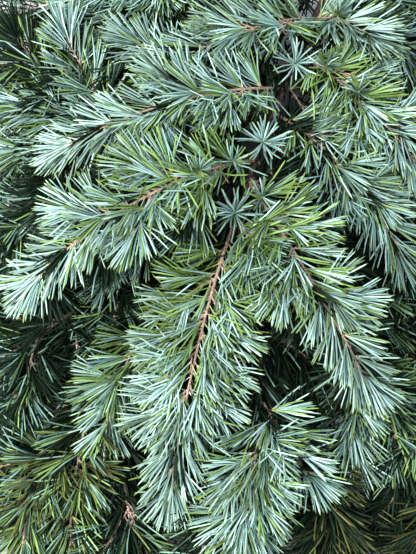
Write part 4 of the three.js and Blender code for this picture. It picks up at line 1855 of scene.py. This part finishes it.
@dataclass
class Foliage:
    """All needles, in one piece for each shade and region, grown on by a node tree from their feet."""

    bough: Bough
    width: float = 1.95
    faces_round: int = 3
    segments: int = 3
    shade_segments: int = 2
    bend: float = 0.035
    most: int = 9500
    most_shaded: int = 13500
    first_seed: int = 20

    def build(self) -> list[bpy.types.Object]:
        """Makes the needle pieces.

        Returns:
            The pieces.
        """
        needles = self.bough.needles.joined()
        recipe = self._tree()
        LOG.info("needles in all: %d", len(needles["feet"]))
        pieces = []
        for number, shade in enumerate(self.bough.shades):
            chosen = np.flatnonzero(needles["shades"] == number)
            chosen = chosen[np.argsort(needles["owners"][chosen], kind="stable")]
            if not len(chosen):
                continue
            # The near-black painted-shade needles get fewer segments.
            deep = shade is Shade.DEEP
            inputs = {
                "Material": shade.value.make(),
                "Width": self.width * MM,
                "Bend": self.bend,
                "Faces Round": self.faces_round,
                "Segments": self.shade_segments if deep else self.segments,
            }
            parts = math.ceil(len(chosen) / (self.most_shaded if deep else self.most))
            for part, group in enumerate(np.array_split(chosen, parts)):
                name = f"{shade.value.name}_{part + 1}"
                mesh = point_mesh(name, needles["feet"][group])
                mark(mesh, "aim", "FLOAT_VECTOR", needles["aims"][group])
                mark(mesh, "reach", "FLOAT", needles["lengths"][group] * MM)
                # Each needle's lightness, with its painted shade and painted light.
                mark(mesh, "tone", "FLOAT", needles["tones"][group])
                mark(mesh, "girth", "FLOAT", needles["girths"][group])
                piece = recipe.run(name, mesh, {**inputs, "Seed": self.first_seed + number * 10 + part})
                nodes = [self.bough.owner_names[i] for i in sorted(set(needles["owners"][group]))]
                settle(piece, nodes)
                pieces.append(piece)
        return pieces

    @staticmethod
    def _tree() -> Recipe:
        """The tree that grows one needle of a few faces on every foot.

        Returns:
            The tree.
        """
        recipe = Recipe(
            "needle_growth",
            {
                "Material": ("NodeSocketMaterial", None),
                "Width": ("NodeSocketFloat", 0.0018),
                "Bend": ("NodeSocketFloat", 0.03),
                "Faces Round": ("NodeSocketInt", 3),
                "Segments": ("NodeSocketInt", 3),
                "Seed": ("NodeSocketInt", 1),
            },
        )
        forge = recipe.forge
        stick = forge.add(
            "GeometryNodeMeshCylinder",
            {"fill_type": "NGON"},
            {
                "Vertices": recipe.value("Faces Round"),
                "Side Segments": recipe.value("Segments"),
                "Radius": 1.0,
                "Depth": 1.0,
            },
        )
        layout = Wire(forge, stick.socket.node.outputs["UV Map"])
        side, other, up = forge.split(forge.add("GeometryNodeInputPosition"))
        share = up + 0.5
        height = forge.add(
            "ShaderNodeFloatCurve",
            {"curve": ((0.0, 0.0), (1.0, 1.0), (0.334, 0.5), (0.667, 0.93))},
            {"Value": share},
        )
        taper = forge.add(
            "ShaderNodeFloatCurve",
            {"curve": ((0.0, 0.62), (1.0, 0.3), (0.334, 1.0), (0.667, 0.86))},
            {"Value": share},
        )
        half = recipe.value("Width") * 0.5
        arch = height * (1.0 - height) * 4.0 * recipe.value("Bend")
        shape = forge.vector(side * taper * half + arch * 0.04, other * taper * half, height)
        needle = forge.add("GeometryNodeSetPosition", None, {"Geometry": stick, "Position": shape})
        flat, high, _ = forge.split(layout)
        needle = forge.add(
            "GeometryNodeStoreNamedAttribute",
            {"data_type": "FLOAT2", "domain": "CORNER"},
            {"Geometry": needle, "Name": "needle", "Value": forge.vector(flat, high * 2.0 - 1.0, 0.0)},
        )
        angle = forge.random(0.0, 2.0 * math.pi, recipe.value("Seed"))
        roll = forge.add("FunctionNodeAxisAngleToRotation", None, {"Axis": (0.0, 0.0, 1.0), "Angle": angle})
        turn = forge.add(
            "FunctionNodeRotateRotation",
            {"rotation_space": "LOCAL"},
            {"Rotation": forge.facing(forge.named("aim", "FLOAT_VECTOR")), "Rotate By": roll},
        )
        girth = forge.named("girth")
        scale = forge.vector(girth, girth, forge.named("reach"))
        recipe.close(forge.on_points(recipe.value("Geometry"), needle, turn, scale), False)
        return recipe


@dataclass
class Studio:
    """The pale floor, soft light and the camera at the photograph's angle."""

    target: tuple[float, float, float] = (-0.022, -0.027, 0.070)
    elevation: float = 75.0
    distance: float = 1.0
    focal_pixels: float = 1000.0
    picture_height: float = 554.0
    sensor: float = 36.0
    floor_half: float = 4.0
    sky: float = 1.4
    sky_colour: Colour = (0.86, 0.93, 1.0)
    key: float = 122.0
    key_colour: Colour = (1.0, 0.985, 0.95)
    key_size: float = 1.3
    key_place: tuple[float, float, float] = (-2.0, -1.1, 2.2)
    key_target: tuple[float, float, float] = (0.0, 0.0, 0.05)

    def build(self) -> None:
        """Sets floor, light and camera."""
        self._floor()
        self._light()
        self._camera()
        LOG.info("studio: floor, sky, one soft light and the camera")

    def _floor(self) -> None:
        """A wide plain floor."""
        mesh = bpy.data.meshes.new("floor")
        half = self.floor_half
        corners = [(-half, -half, 0.0), (half, -half, 0.0), (half, half, 0.0), (-half, half, 0.0)]
        mesh.from_pydata(corners, [], [(0, 1, 2, 3)])
        mesh.materials.append(FLOOR.make())
        floor = show("floor", mesh)

    def _light(self) -> None:
        """An even sky and one large soft light above."""
        world = bpy.data.worlds.new("soft_sky")
        world.use_nodes = True
        back = world.node_tree.nodes["Background"]
        back.inputs["Color"].default_value = _rgba(self.sky_colour)
        back.inputs["Strength"].default_value = self.sky
        bpy.context.scene.world = world
        data = bpy.data.lights.new("soft_box", "AREA")
        data.shape = "SQUARE"
        data.size = self.key_size
        data.energy = self.key
        data.color = self.key_colour
        light = show("soft_box", data)
        light.location = self.key_place
        aim = Vector(self.key_target) - light.location
        light.rotation_euler = aim.to_track_quat("-Z", "Y").to_euler()

    def _camera(self) -> None:
        """The camera, above the bough and a little to its front."""
        data = bpy.data.cameras.new("camera")
        data.sensor_fit = "VERTICAL"
        data.sensor_height = self.sensor
        data.lens = self.sensor * self.focal_pixels / self.picture_height
        data.clip_start = 0.02
        camera = show("camera", data)
        lift = math.radians(self.elevation)
        away = Vector((0.0, -math.cos(lift), math.sin(lift))) * self.distance
        camera.location = Vector(self.target) + away
        camera.rotation_euler = (-away).to_track_quat("-Z", "Y").to_euler()
        bpy.context.scene.camera = camera
        bpy.context.scene.view_settings.view_transform = "Standard"
        bpy.context.scene.view_settings.look = "High Contrast"


def main() -> None:
    """Builds the bough and its studio."""
    logging.basicConfig(level=logging.INFO, format="%(message)s")
    Studio().build()
    bough = Bough(TwigRule(), SideRule(), NeedleRule(), EdgeRule())
    Wood(bough).build()
    Shoots(bough).build()
    Foliage(bough).build()


if __name__ == "__main__":
    main()
